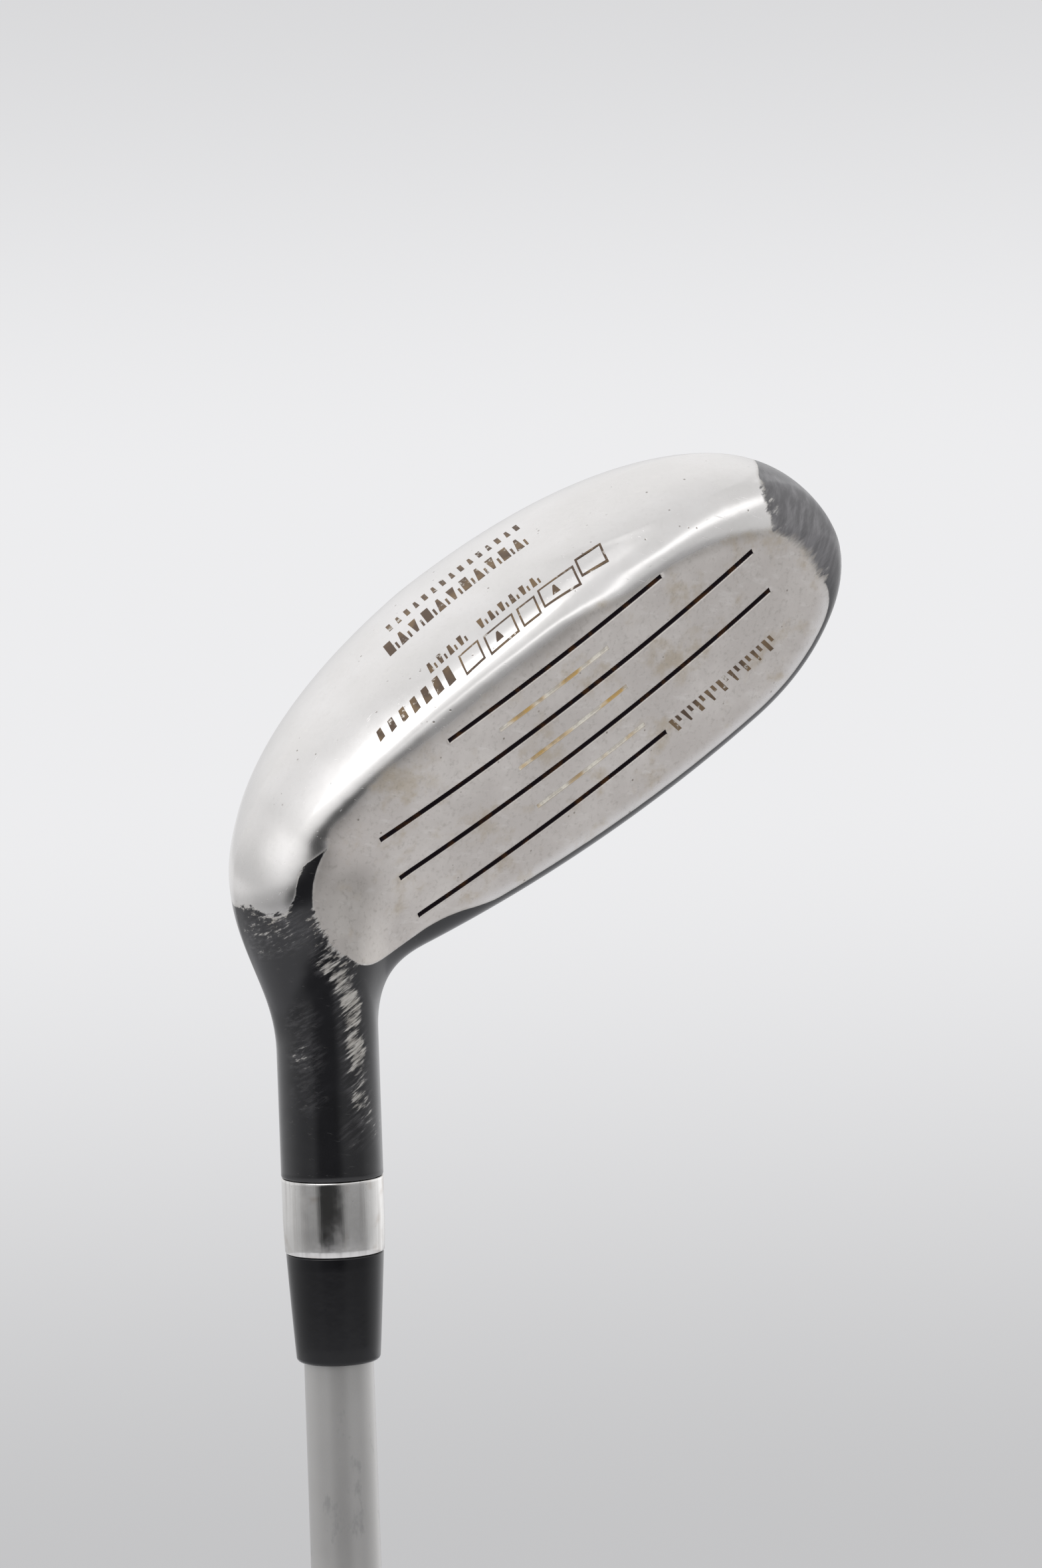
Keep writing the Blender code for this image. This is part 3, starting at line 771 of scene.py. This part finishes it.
def grip_radius(z):
    cap_top = ends_of("grip_cap")[1]
    mouth = ends_of("grip_sleeve")[1]
    part = np.clip((z - cap_top) / (mouth - cap_top), 0.0, 1.0)
    taper = GRIP_BUTT_R + (GRIP_MOUTH_R - GRIP_BUTT_R) * part**0.85
    return taper + 1.6 * np.exp(-(z - cap_top) / 9.0)


def grip_cut(turn, z):
    """How deep the grip's pattern is cut at this place, in millimetres."""
    mouth = ends_of("grip_sleeve")[1]
    field = ease((z - GRIP_BORDER) / 4.0) * ease((mouth - GRIP_BORDER - z) / 4.0)
    left = np.abs(np.sin(0.5 * (DIAMONDS_ROUND * turn + z * DIAMOND_TURN)))
    right = np.abs(np.sin(0.5 * (DIAMONDS_ROUND * turn - z * DIAMOND_TURN)))
    groove = np.maximum(1.0 - left / GROOVE_HALF, 0.0)
    groove = np.maximum(groove, 1.0 - right / GROOVE_HALF)
    plain = ease(np.abs(((z - 30.0) % GRIP_REPEAT) - 30.0) / 1.5 - 2.2)
    cut = DIAMOND_DEPTH * np.clip(groove * 1.6, 0.0, 1.0) * plain
    rib = 0.5 + 0.5 * np.cos(z * 2.0 * math.pi / 1.6)
    ribs = np.where(plain < 0.5, RIB_DEPTH * rib, 0.0)
    return field * np.maximum(cut, ribs)


def build_grip(material):
    bottom, top = ends_of("grip_sleeve")
    bottom -= 0.25
    turn = 2.0 * math.pi * np.arange(GRIP_SIDES) / GRIP_SIDES
    lip = [top - 1.4, top - 0.7, top - 0.2, top]
    profile = []
    for z in np.concatenate([np.linspace(bottom, top - 2.2, 330), lip]):
        close = np.clip((top - z) / 2.2, 0.0, 1.0)
        radius = grip_radius(z) - grip_cut(turn, z)
        radius = radius - 0.9 * (1.0 - math.sqrt(1.0 - (1.0 - close) ** 2 + 1e-9))
        profile.append((radius, z))
    for z in (top, 140.0, bottom):
        profile.append((float(shaft_radius(z)) + 0.4, z))
    obj = lathe("grip_rubber_sleeve", profile, GRIP_SIDES)
    finish_piece(obj, material, "grip_rubber", "grip_sleeve")


def build_cap(material):
    bottom, top = ends_of("grip_cap")
    profile = [(0.9, top), (0.9, bottom + 1.2), (1.2, bottom + 0.25), (1.5, bottom + 0.02)]
    profile += [(5.2, bottom + 0.02), (5.5, bottom + 0.45), (6.4, bottom + 0.45), (6.7, bottom + 0.02)]
    profile += [(11.9, bottom)]
    for i in range(1, 13):
        t = 0.5 * math.pi * i / 12
        profile.append((12.0 + 3.2 * math.sin(t), bottom + 2.6 - 2.6 * math.cos(t)))
    profile += [(15.2, bottom + 4.4), (15.0, bottom + 4.6), (15.0, bottom + 5.0)]
    profile += [(15.12, bottom + 5.2), (15.0, top)]
    obj = lathe("grip_end_cap", profile, CAP_SIDES)
    finish_piece(obj, material, "cap_rubber", "grip_cap")


# ---- small stamped marks


def on_sole(x, h, lift):
    """Places on the sole under each x and h, lifted off it by this much."""
    z = narrow(np.full(len(x), -5.0), np.full(len(x), -34.0), lambda z: head_field(x, h, z), SOLE_HALVINGS)
    points = np.stack([x, h, z], 1)
    slopes = [head_field(*(points + step).T) - head_field(*(points - step).T) for step in 0.05 * np.eye(3)]
    normal = np.stack(slopes, 1)
    normal /= np.linalg.norm(normal, axis=1)[:, None]
    return points + normal * lift


def on_face(x, up_face, lift):
    _, h, z = face_point(x, up_face)
    outward = np.array([0.0, -math.cos(LOFT), math.sin(LOFT)])
    return np.stack([x, h, z], 1) + outward * lift


def patch(corners, place, steps_u, steps_v):
    """A thin closed inlay over four corners given in the surface's own two directions."""
    a, b, c, d = (np.array(p, float) for p in corners)
    flat = []
    for v in np.linspace(0.0, 1.0, steps_v + 1):
        for u in np.linspace(0.0, 1.0, steps_u + 1):
            flat.append((a * (1 - u) + b * u) * (1 - v) + (d * (1 - u) + c * u) * v)
    flat = np.array(flat)
    top = place(flat[:, 0], flat[:, 1], MARK_LIFT)
    under = place(flat[:, 0], flat[:, 1], -MARK_SINK)
    wide = steps_u + 1
    count = len(flat)
    faces = []
    for v in range(steps_v):
        for u in range(steps_u):
            i = v * wide + u
            faces.append((i, i + 1, i + wide + 1, i + wide))
            faces.append((count + i + wide, count + i + wide + 1, count + i + 1, count + i))
    rim = list(range(wide))
    rim += [v * wide + steps_u for v in range(1, steps_v + 1)]
    rim += [steps_v * wide + u for u in range(steps_u - 1, -1, -1)]
    rim += [v * wide for v in range(steps_v - 1, 0, -1)]
    for i in range(len(rim)):
        j = (i + 1) % len(rim)
        faces.append((rim[j], rim[i], count + rim[i], count + rim[j]))
    return np.concatenate([top, under]), faces


def join_patches(name, patches, material):
    points = []
    faces = []
    for more_points, more_faces in patches:
        start = sum(len(p) for p in points)
        points.append(more_points)
        faces += [tuple(i + start for i in face) for face in more_faces]
    obj = new_object(name, to_world(np.concatenate(points)), faces, smooth=False)
    finish_piece(obj, material, "head_steel")


def wedge(x, y, width, height, lean, pinch, place, steps=(3, 4)):
    """A leaning bar that narrows toward its top, or toward its foot where pinch is negative."""
    top = max(pinch, 0.0)
    foot = max(-pinch, 0.0)
    corners = (
        (x + foot, y),
        (x + width - foot, y),
        (x + width + lean - top, y + height),
        (x + lean + top, y + height),
    )
    return patch(corners, place, *steps)


def outlined(x, y, width, height, lean, line, place):
    """A leaning outline made of four thin bars."""
    slant = lean / height
    long_steps = (max(4, int(width)), 1)
    out = []
    for up in (0.0, height - line):
        out.append(wedge(x + slant * up, y + up, width, line, slant * line, 0.0, place, long_steps))
    side = line * 1.3
    tall = height - 2.0 * line - 0.02
    start = x + slant * (line + 0.01)
    for shift in (0.0, width - side):
        out.append(wedge(start + shift, y + line + 0.01, side, tall, slant * tall, 0.0, place, (1, 4)))
    return out


def build_face_ticks(material):
    """A row of plain slanted ticks and notches near the toe, high on the face."""
    ticks = []
    for i in range(9):
        x = 10.8 + 2.2 * i
        ticks.append(wedge(x, 9.7, 0.66, 2.4, 0.8, 0.16 * (i % 2), on_face))
        ticks.append(wedge(x + 1.15, 9.7, 0.5, 1.2, 0.4, 0.0, on_face))
    join_patches("face_tick_marks", ticks, material)


def sole_row(x):
    """How far back the main row of marks stands, following the leading edge."""
    return -3.2 + 0.0044 * (x + 3.0) ** 2


def build_sole_marks(material):
    """Plain geometric marks: slanted bars growing into outlined cells, and rows of small wedges."""
    marks = []
    for i in range(7):
        x = -25.8 + 1.95 * i
        marks.append(wedge(x, sole_row(x), 1.05 + 0.05 * i, 1.3 + 0.16 * i, 0.5 + 0.06 * i, 0.12, on_sole))
    x = -11.4
    for i, width in enumerate((3.6, 5.2, 3.2, 6.2, 4.4)):
        low = sole_row(x + 0.5 * width) - 0.1
        marks += outlined(x, low, width, 2.7, 1.2, 0.24, on_sole)
        if i % 2 == 1:
            marks.append(wedge(x + 0.35 * width, low + 0.7, 1.3, 1.2, 0.5, 0.5, on_sole))
        x += width + 0.75
    for i in range(11):
        if i != 4:
            x = -14.4 + 1.85 * i
            marks.append(wedge(x, 0.55, 0.8, 1.6, 0.45, 0.15 * (-1) ** i, on_sole))
            marks.append(wedge(x + 1.1, 0.55, 0.3, 0.9, 0.25, 0.0, on_sole))
    for i in range(11):
        x = -15.6 + 2.3 * i
        marks.append(wedge(x, 8.4, 1.25, 3.0, 0.7, (0.0, 0.4, -0.4)[i % 3], on_sole))
        marks.append(wedge(x + 1.6, 8.4, 0.35, 1.6, 0.35, 0.0, on_sole))
    for i in range(15):
        marks.append(wedge(-12.4 + 1.62 * i, 13.4, 0.7, 1.9, 0.35, 0.14 * (i % 2), on_sole))
    join_patches("sole_stamped_marks", marks, material)


# ---- material helpers


class Nodes:
    """Short calls for building the node tree of a new material or world."""

    def __init__(self, owner, place):
        owner.use_nodes = True
        self.owner = owner
        self.tree = owner.node_tree
        self.place = self.add("ShaderNodeTexCoord").outputs[place]

    def add(self, kind, **settings):
        node = self.tree.nodes.new(kind)
        for key, value in settings.items():
            setattr(node, key, value)
        return node

    def feed(self, socket, value):
        if isinstance(value, bpy.types.NodeSocket):
            self.tree.links.new(value, socket)
        elif isinstance(value, tuple) and len(value) == 3 and socket.type == "RGBA":
            socket.default_value = (*value, 1.0)
        else:
            socket.default_value = value

    def wired(self, node, *values):
        """Feeds the values to the node's first inputs, and gives its first output."""
        for socket, value in zip(node.inputs, values):
            self.feed(socket, value)
        return node.outputs[0]

    def math(self, operation, *values, clamp=False):
        node = self.add("ShaderNodeMath", operation=operation, use_clamp=clamp)
        return self.wired(node, *values)

    def plus(self, a, b):
        return self.math("ADD", a, b)

    def minus(self, a, b):
        return self.math("SUBTRACT", a, b)

    def times(self, a, b):
        return self.math("MULTIPLY", a, b)

    def most(self, a, b):
        return self.math("MAXIMUM", a, b)

    def rest(self, share):
        """1 minus the share."""
        return self.minus(1.0, share)

    def step(self, value, low, high, out_low=0.0, out_high=1.0):
        node = self.add("ShaderNodeMapRange", interpolation_type="SMOOTHSTEP", clamp=True)
        return self.wired(node, value, low, high, out_low, out_high)

    def mix(self, amount, a, b):
        node = self.add("ShaderNodeMix", data_type="RGBA")
        self.feed(node.inputs[0], amount)
        self.feed(node.inputs[6], a)
        self.feed(node.inputs[7], b)
        return node.outputs[2]

    def blend(self, amount, a, b):
        node = self.add("ShaderNodeMix", data_type="FLOAT")
        self.feed(node.inputs[0], amount)
        self.feed(node.inputs[2], a)
        self.feed(node.inputs[3], b)
        return node.outputs[0]

    def tune(self, node, **values):
        """Feeds the node's named inputs, where an underscore stands for a space."""
        for key, value in values.items():
            self.feed(node.inputs[key.replace("_", " ")], value)
        return node

    def turned(self, angles, scale):
        """The place in axes turned by these angles in degrees, then scaled along each of them."""
        node = self.add("ShaderNodeMapping", vector_type="TEXTURE")
        turn = tuple(math.radians(angle) for angle in angles)
        shrink = tuple(1.0 / value for value in scale)
        return self.tune(node, Vector=self.place, Rotation=turn, Scale=shrink).outputs[0]

    def noise(self, scale, detail=3.0, rough=0.55, vector=None):
        node = self.add("ShaderNodeTexNoise")
        self.tune(node, Vector=vector or self.place, Scale=scale, Detail=detail, Roughness=rough)
        return node.outputs[0]

    def streaks(self, angles, scale, detail, rough):
        """Noise drawn out along one of the turned axes."""
        return self.noise(1.0, detail, rough, self.turned(angles, scale))

    def cells(self, scale):
        node = self.add("ShaderNodeTexVoronoi")
        return self.tune(node, Vector=self.place, Scale=scale).outputs["Distance"]

    def amount(self, name):
        return self.add("ShaderNodeAttribute", attribute_name=name).outputs["Fac"]

    def bump(self, height, strength, distance, **normal):
        node = self.add("ShaderNodeBump")
        return self.tune(node, Height=height, Strength=strength, Distance=distance, **normal).outputs[0]

    def set(self, **values):
        self.tune(self.tree.nodes["Principled BSDF"], **values)


def material_nodes(name):
    return Nodes(bpy.data.materials.new(name), "Object")


# ---- materials


def head_material():
    n = material_nodes("head_steel_and_paint")
    paint_mm = n.amount("paint_mm")
    face_mm = n.amount("face_mm")
    rubbed = n.amount("rubbed")
    dulled = n.amount("dulled")
    ink = n.amount("ink")
    gilt = n.amount("gilt")

    # Bare steel: a satin face, a polished sole and edge.
    on_face = n.step(face_mm, 0.7, 1.7)
    cloud = n.noise(90.0, 4.0, 0.6)
    grain = n.noise(5200.0, 2.0, 0.6)
    fine = n.noise(1500.0, 3.0, 0.7)
    brushed = n.streaks((0, 32.65, 0), (60.0, 900.0, 2600.0), 3.0, 0.6)
    face_colour = n.mix(n.step(cloud, 0.35, 0.7), (0.575, 0.54, 0.505), (0.685, 0.65, 0.61))
    sole_colour = n.mix(n.step(cloud, 0.3, 0.7), (0.74, 0.725, 0.705), (0.79, 0.775, 0.76))
    steel = n.mix(on_face, sole_colour, face_colour)

    # Yellow-brown tarnish in soft blotches, and small dark pits.
    blotch = n.noise(150.0, 5.0, 0.62)
    tarnish = n.times(n.step(blotch, 0.52, 0.70), n.step(face_mm, 0.0, 1.5))
    steel = n.mix(n.times(tarnish, 0.42), steel, (0.42, 0.33, 0.19))
    pits = n.step(n.cells(620.0), 0.13, 0.06)
    pits = n.times(pits, n.step(n.noise(240.0, 2.0), 0.53, 0.60))
    steel = n.mix(n.times(pits, 0.62), steel, (0.12, 0.09, 0.06))
    soil = n.times(n.step(fine, 0.50, 0.74), n.blend(on_face, 0.05, 0.3))
    steel = n.mix(soil, steel, (0.27, 0.245, 0.21))
    scuff = n.streaks((0, 12, 0), (240.0, 600.0, 900.0), 4.0, 0.65)
    steel = n.mix(n.times(n.step(scuff, 0.54, 0.72), 0.28), steel, (0.80, 0.78, 0.75))

    # Fine scratches in two directions.
    long_scratch = n.streaks((0, 20, 12), (110.0, 2400.0, 4200.0), 2.0, 0.5)
    cross_scratch = n.streaks((15, -48, 0), (140.0, 2200.0, 3800.0), 2.0, 0.5)
    scratch = n.most(n.step(long_scratch, 0.70, 0.76), n.step(cross_scratch, 0.71, 0.77))

    steel_rough = n.blend(on_face, 0.2, 0.34)
    steel_rough = n.plus(steel_rough, n.times(n.step(cloud, 0.4, 0.8), 0.05))
    steel_rough = n.plus(steel_rough, n.times(scratch, 0.14))
    steel_rough = n.plus(steel_rough, n.times(tarnish, 0.1))

    # Score line fill.
    gilt_worn = n.step(n.noise(700.0, 3.0, 0.7), 0.40, 0.58)
    gold_part = n.step(n.noise(260.0, 2.0, 0.5), 0.42, 0.62)
    gilt_colour = n.mix(gold_part, (0.88, 0.84, 0.74), (0.62, 0.40, 0.12))
    gilt_here = n.times(n.step(gilt, 0.25, 0.75), n.blend(gilt_worn, 0.55, 1.0))
    ink_here = n.step(ink, 0.35, 0.75)
    ink_colour = n.mix(n.step(n.noise(420.0, 2.0), 0.5, 0.7), (0.012, 0.009, 0.011), (0.055, 0.026, 0.012))

    # The black paint: its border is ragged where it is worn, and it is rubbed through in streaks.
    rag = n.streaks((0, -32, 0), (420.0, 900.0, 1700.0), 4.0, 0.65)
    reach = n.step(rubbed, 0.0, 0.5, 0.15, 8.0)
    reach = n.blend(dulled, reach, n.times(reach, 0.16))
    ragged = n.times(n.minus(rag, 0.5), reach)
    edge = n.plus(paint_mm, ragged)
    feather = n.step(rubbed, 0.05, 0.4, 0.07, 0.45)
    painted = n.step(n.math("DIVIDE", edge, feather), -1.0, 1.0)
    streak = n.streaks((0, -33, 0), (260.0, 700.0, 2300.0), 6.0, 0.68)
    nick = n.streaks((0, -8, 0), (380.0, 800.0, 2600.0), 3.0, 0.6)
    patchy = n.streaks((0, -33, 0), (300.0, 500.0, 620.0), 4.0, 0.6)
    wear = n.plus(n.times(streak, 0.62), n.times(patchy, 0.38))
    keep_from = n.step(rubbed, 0.0, 1.0, 0.78, 0.33)
    gone = n.step(n.minus(wear, keep_from), -0.045, 0.075)
    gone = n.times(gone, n.step(rubbed, 0.01, 0.12))
    gone = n.times(gone, n.blend(dulled, 1.0, 0.8))
    stray = n.step(nick, 0.75, 0.79, 0.0, 0.45)
    gone = n.most(gone, n.times(stray, n.step(n.noise(120.0, 1.0), 0.46, 0.6)))
    painted = n.times(painted, n.rest(gone))
    under_paint = n.step(paint_mm, -0.5, 0.5)
    primer = n.mix(n.step(streak, 0.45, 0.62), (0.30, 0.275, 0.235), (0.56, 0.54, 0.50))
    steel = n.mix(n.times(under_paint, 0.75), steel, primer)
    steel_rough = n.plus(steel_rough, n.times(under_paint, 0.28))

    paint_colour = n.mix(n.step(cloud, 0.3, 0.8), (0.0085, 0.0085, 0.0095), (0.016, 0.016, 0.018))
    dust = n.times(n.step(n.streaks((0, 10, 0), (300.0, 900.0, 2400.0), 3.0, 0.7), 0.62, 0.75), 0.10)
    paint_colour = n.mix(dust, paint_colour, (0.30, 0.29, 0.27))
    rub_marks = n.streaks((0, -68, 0), (160.0, 500.0, 1100.0), 4.0, 0.6)
    haze = n.times(n.step(rub_marks, 0.36, 0.74, 0.5, 1.0), n.times(dulled, 0.95))
    haze = n.plus(haze, n.times(n.step(streak, 0.42, 0.68), n.step(rubbed, 0.1, 0.6, 0.0, 0.3)))
    paint_colour = n.mix(haze, paint_colour, (0.21, 0.205, 0.21))
    colour = n.mix(painted, steel, paint_colour)
    colour = n.mix(n.times(n.step(gilt, 0.02, 0.3), 0.5), colour, (0.20, 0.14, 0.08))
    colour = n.mix(gilt_here, colour, gilt_colour)
    colour = n.mix(ink_here, colour, ink_colour)
    fill = n.most(ink_here, gilt_here)
    metal = n.math("SUBTRACT", 1.0, n.most(painted, gilt_here), clamp=True)
    paint_rough = n.plus(n.blend(dulled, 0.16, 0.3), n.times(dust, 1.6))
    rough = n.blend(painted, steel_rough, paint_rough)
    rough = n.blend(fill, rough, 0.45)

    height = n.times(grain, n.blend(on_face, 0.0, 0.5))
    height = n.minus(height, n.times(pits, 1.6))
    height = n.minus(height, n.times(scratch, 0.5))
    height = n.plus(height, n.times(brushed, n.blend(on_face, 0.12, 0.25)))
    height = n.times(height, n.rest(painted))
    height = n.plus(height, n.times(painted, 0.9))
    normal = n.bump(height, 0.35, 0.00002)
    normal = n.bump(n.noise(150.0, 2.0, 0.5), 0.12, 0.0006, Normal=normal)
    n.set(Base_Color=colour, Metallic=metal, Roughness=rough, Normal=normal, IOR=1.58)
    return n.owner


def mark_material():
    n = material_nodes("stamped_mark_enamel")
    worn = n.step(n.noise(520.0, 4.0, 0.7), 0.57, 0.66)
    tint = n.mix(n.step(n.noise(300.0, 2.0), 0.4, 0.65), (0.075, 0.042, 0.02), (0.16, 0.10, 0.045))
    n.set(Base_Color=n.mix(worn, tint, (0.60, 0.57, 0.52)), Metallic=n.times(worn, 0.9))
    n.set(Roughness=n.blend(worn, 0.5, 0.25), Normal=n.bump(n.noise(2600.0, 2.0), 0.3, 0.00002))
    return n.owner


def ring_material():
    n = material_nodes("polished_ring_steel")
    smudge = n.noise(230.0, 4.0, 0.6)
    stain = n.step(n.noise(140.0, 3.0, 0.6), 0.54, 0.68)
    lines = n.streaks((0, 0, 0), (900.0, 900.0, 40.0), 3.0, 0.6)
    streaks = n.step(lines, 0.42, 0.66)
    colour = n.mix(n.times(stain, 0.5), (0.80, 0.79, 0.77), (0.42, 0.33, 0.25))
    colour = n.mix(n.times(streaks, 0.3), colour, (0.34, 0.32, 0.30))
    colour = n.mix(n.step(n.cells(900.0), 0.08, 0.03, 0.0, 0.4), colour, (0.2, 0.18, 0.16))
    rough = n.plus(n.step(smudge, 0.35, 0.8, 0.07, 0.2), n.times(streaks, 0.08))
    n.set(Base_Color=colour, Metallic=1.0, Roughness=rough)
    n.set(Normal=n.bump(n.plus(n.times(lines, 3.0), n.times(smudge, 2.0)), 0.2, 0.00004))
    return n.owner


def ferrule_material():
    n = material_nodes("ferrule_gloss_black")
    haze = n.noise(120.0, 4.0, 0.6)
    marks = n.step(n.streaks((0, -12, 0), (320.0, 800.0, 3000.0), 3.0, 0.6), 0.70, 0.76)
    marks = n.times(marks, n.step(n.noise(90.0, 1.0), 0.5, 0.65))
    colour = n.mix(n.times(marks, 0.35), (0.006, 0.006, 0.007), (0.25, 0.24, 0.22))
    n.set(Base_Color=colour, Roughness=n.plus(n.step(haze, 0.35, 0.8, 0.13, 0.24), n.times(marks, 0.2)))
    n.set(Normal=n.bump(n.minus(haze, n.times(marks, 0.3)), 0.1, 0.0003))
    n.set(IOR=1.42)
    return n.owner


def shaft_material():
    n = material_nodes("shaft_satin_grey")
    weave = n.streaks((0, 0, 0), (900.0, 900.0, 60.0), 2.0, 0.5)
    flake = n.noise(6500.0, 1.0, 0.5)
    cloud = n.noise(45.0, 3.0, 0.5)
    smudge = n.step(n.streaks((0, 0, 0), (260.0, 260.0, 130.0), 4.0, 0.65), 0.59, 0.70)
    colour = n.mix(n.step(cloud, 0.3, 0.7), (0.42, 0.413, 0.40), (0.47, 0.463, 0.45))
    colour = n.mix(n.times(flake, 0.12), colour, (0.72, 0.71, 0.69))
    colour = n.mix(n.times(smudge, 0.45), colour, (0.2, 0.2, 0.2))
    n.set(Base_Color=colour, Metallic=0.72)
    n.set(Roughness=n.plus(n.step(cloud, 0.3, 0.7, 0.30, 0.36), n.times(smudge, 0.1)))
    n.set(Normal=n.bump(n.plus(weave, n.times(flake, 0.5)), 0.08, 0.00003))
    n.set(Coat_Weight=0.35, Coat_Roughness=0.22)
    return n.owner


def rubber_material(name, base, dust):
    n = material_nodes(name)
    grain = n.noise(2600.0, 3.0, 0.7)
    pores = n.cells(1900.0)
    wear = n.noise(38.0, 4.0, 0.6)
    colour = n.mix(n.step(wear, 0.45, 0.75), base, dust)
    colour = n.mix(n.step(grain, 0.55, 0.8, 0.0, 0.25), colour, (0.09, 0.09, 0.088))
    n.set(Base_Color=colour, Roughness=n.step(wear, 0.3, 0.8, 0.58, 0.78))
    height = n.plus(n.times(grain, 0.6), n.times(pores, 0.8))
    n.set(Normal=n.bump(height, 0.45, 0.00012))
    return n.owner


def hidden_material(name, colour, other, metallic, rough):
    """A simple finish for the pieces closed inside the club."""
    n = material_nodes(name)
    mottle = n.noise(300.0, 4.0, 0.6)
    n.set(Base_Color=n.mix(n.step(mottle, 0.35, 0.7), colour, other), Metallic=metallic)
    n.set(Roughness=n.step(mottle, 0.3, 0.8, rough, rough + 0.15))
    n.set(Normal=n.bump(n.noise(1800.0, 3.0), 0.3, 0.00005))
    return n.owner


def finish_hidden_nodes():
    finishes = {
        "rattle_glue": hidden_material("glue_finish", (0.55, 0.38, 0.15), (0.68, 0.5, 0.25), 0.0, 0.3),
        "tip_plug": hidden_material("plug_finish", (0.3, 0.07, 0.045), (0.4, 0.11, 0.07), 0.0, 0.7),
        "swing_weight": hidden_material("brass_finish", (0.68, 0.48, 0.19), (0.76, 0.57, 0.28), 1.0, 0.25),
        "grip_tape": hidden_material("tape_finish", (0.68, 0.62, 0.47), (0.78, 0.73, 0.6), 0.0, 0.75),
    }
    for name, material in finishes.items():
        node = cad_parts[name]
        node.data.materials.clear()
        node.data.materials.append(material)


# ---- camera, floor and light


def make_camera():
    data = bpy.data.cameras.new("camera")
    data.sensor_width = 36.0
    data.sensor_fit = "AUTO"
    data.lens = CAMERA_LENS
    data.clip_start = 0.05
    data.clip_end = 60.0
    obj = linked("camera", data)
    ahead = Vector(CAMERA_AHEAD).normalized()
    right = ahead.cross(Vector(CAMERA_UP)).normalized()
    up = right.cross(ahead)
    turn = Matrix((right, up, -ahead)).transposed().to_4x4()
    obj.matrix_world = Matrix.Translation(Vector(CAMERA_PLACE)) @ turn
    bpy.context.scene.camera = obj


def make_floor():
    n = material_nodes("pale_floor")
    cloud = n.step(n.noise(0.6, 3.0), 0.3, 0.7)
    n.set(Base_Color=n.mix(cloud, (0.70, 0.70, 0.715), (0.73, 0.73, 0.745)), Roughness=0.9)
    points = np.concatenate([circle(radius, FLOOR_Z, FLOOR_SIDES) for radius in FLOOR_RADII])
    mesh = bpy.data.meshes.new("floor")
    mesh.from_pydata([tuple(p) for p in points], [], grid_faces(len(FLOOR_RADII), FLOOR_SIDES))
    mesh.materials.append(n.owner)
    linked("floor", mesh)


def sky_oval(n, azimuth, elevation, centre, half, soft):
    """1 inside an oval of the sky given in degrees, fading to 0 outside it."""
    across = n.times(n.minus(azimuth, math.radians(centre[0])), DEGREES_PER_RADIAN / half[0])
    upward = n.times(n.minus(elevation, math.radians(centre[1])), DEGREES_PER_RADIAN / half[1])
    far = n.math("SQRT", n.plus(n.times(across, across), n.times(upward, upward)))
    return n.step(far, 1.0 - soft, 1.0 + soft, 1.0, 0.0)


def make_world():
    """A pale studio tent with brighter and dimmer ovals that light the club. The camera sees it plain."""
    world = bpy.data.worlds.new("studio")
    bpy.context.scene.world = world
    n = Nodes(world, "Generated")
    parts = n.add("ShaderNodeSeparateXYZ")
    n.feed(parts.inputs[0], n.place)
    x, y, z = parts.outputs
    azimuth = n.math("ARCTAN2", x, n.times(y, -1.0))
    elevation = n.math("ARCSINE", z)
    slanted = n.minus(elevation, n.times(azimuth, BAND_SLANT))
    either_side = n.math("ABSOLUTE", azimuth)
    low = n.step(elevation, -0.215, -0.10, 0.56, 0.86)
    high = n.step(elevation, -0.06, 0.03, 0.0, -0.17)
    upper = n.step(elevation, 0.10, 0.6, 0.0, 0.15)
    plain = n.plus(n.plus(low, high), upper)
    light = plain
    for across, upward, (*oval, added) in (
        (azimuth, elevation, LEFT_WALL),
        (azimuth, elevation, RIGHT_WALL),
        (azimuth, slanted, SLANTED_BAND),
        (either_side, elevation, BACK_WALL),
    ):
        light = n.plus(light, n.times(sky_oval(n, across, upward, *oval), added))
    for *oval, taken in (DIM_FRONT, DIM_OPENING):
        light = n.times(light, n.rest(n.times(sky_oval(n, azimuth, elevation, *oval), taken)))
    seen = n.add("ShaderNodeLightPath").outputs["Is Camera Ray"]
    background = n.tree.nodes["Background"]
    n.feed(background.inputs["Strength"], n.plus(n.times(light, n.rest(seen)), n.times(plain, seen)))
    n.feed(background.inputs["Color"], (0.985, 0.985, 1.0))


def make_lamp():
    data = bpy.data.lights.new("front_left_box", "AREA")
    data.shape = "RECTANGLE"
    data.size, data.size_y = LAMP_SIZE
    data.energy = LAMP_POWER
    obj = linked("front_left_box", data)
    obj.location = LAMP_PLACE
    aim = Vector(LAMP_TARGET) - Vector(LAMP_PLACE)
    obj.rotation_euler = aim.to_track_quat("-Z", "Y").to_euler()


def main():
    make_camera()
    build_head(head_material())
    marks = mark_material()
    build_face_ticks(marks)
    build_sole_marks(marks)
    build_ring(ring_material())
    build_ferrule(ferrule_material())
    build_shaft(shaft_material())
    build_grip(rubber_material("grip_rubber_black", (0.014, 0.014, 0.0145), (0.034, 0.034, 0.034)))
    build_cap(rubber_material("cap_rubber_black", (0.018, 0.018, 0.0185), (0.04, 0.04, 0.04)))
    finish_hidden_nodes()
    make_floor()
    make_world()
    make_lamp()
    bpy.context.scene.view_settings.view_transform = "Standard"


main()
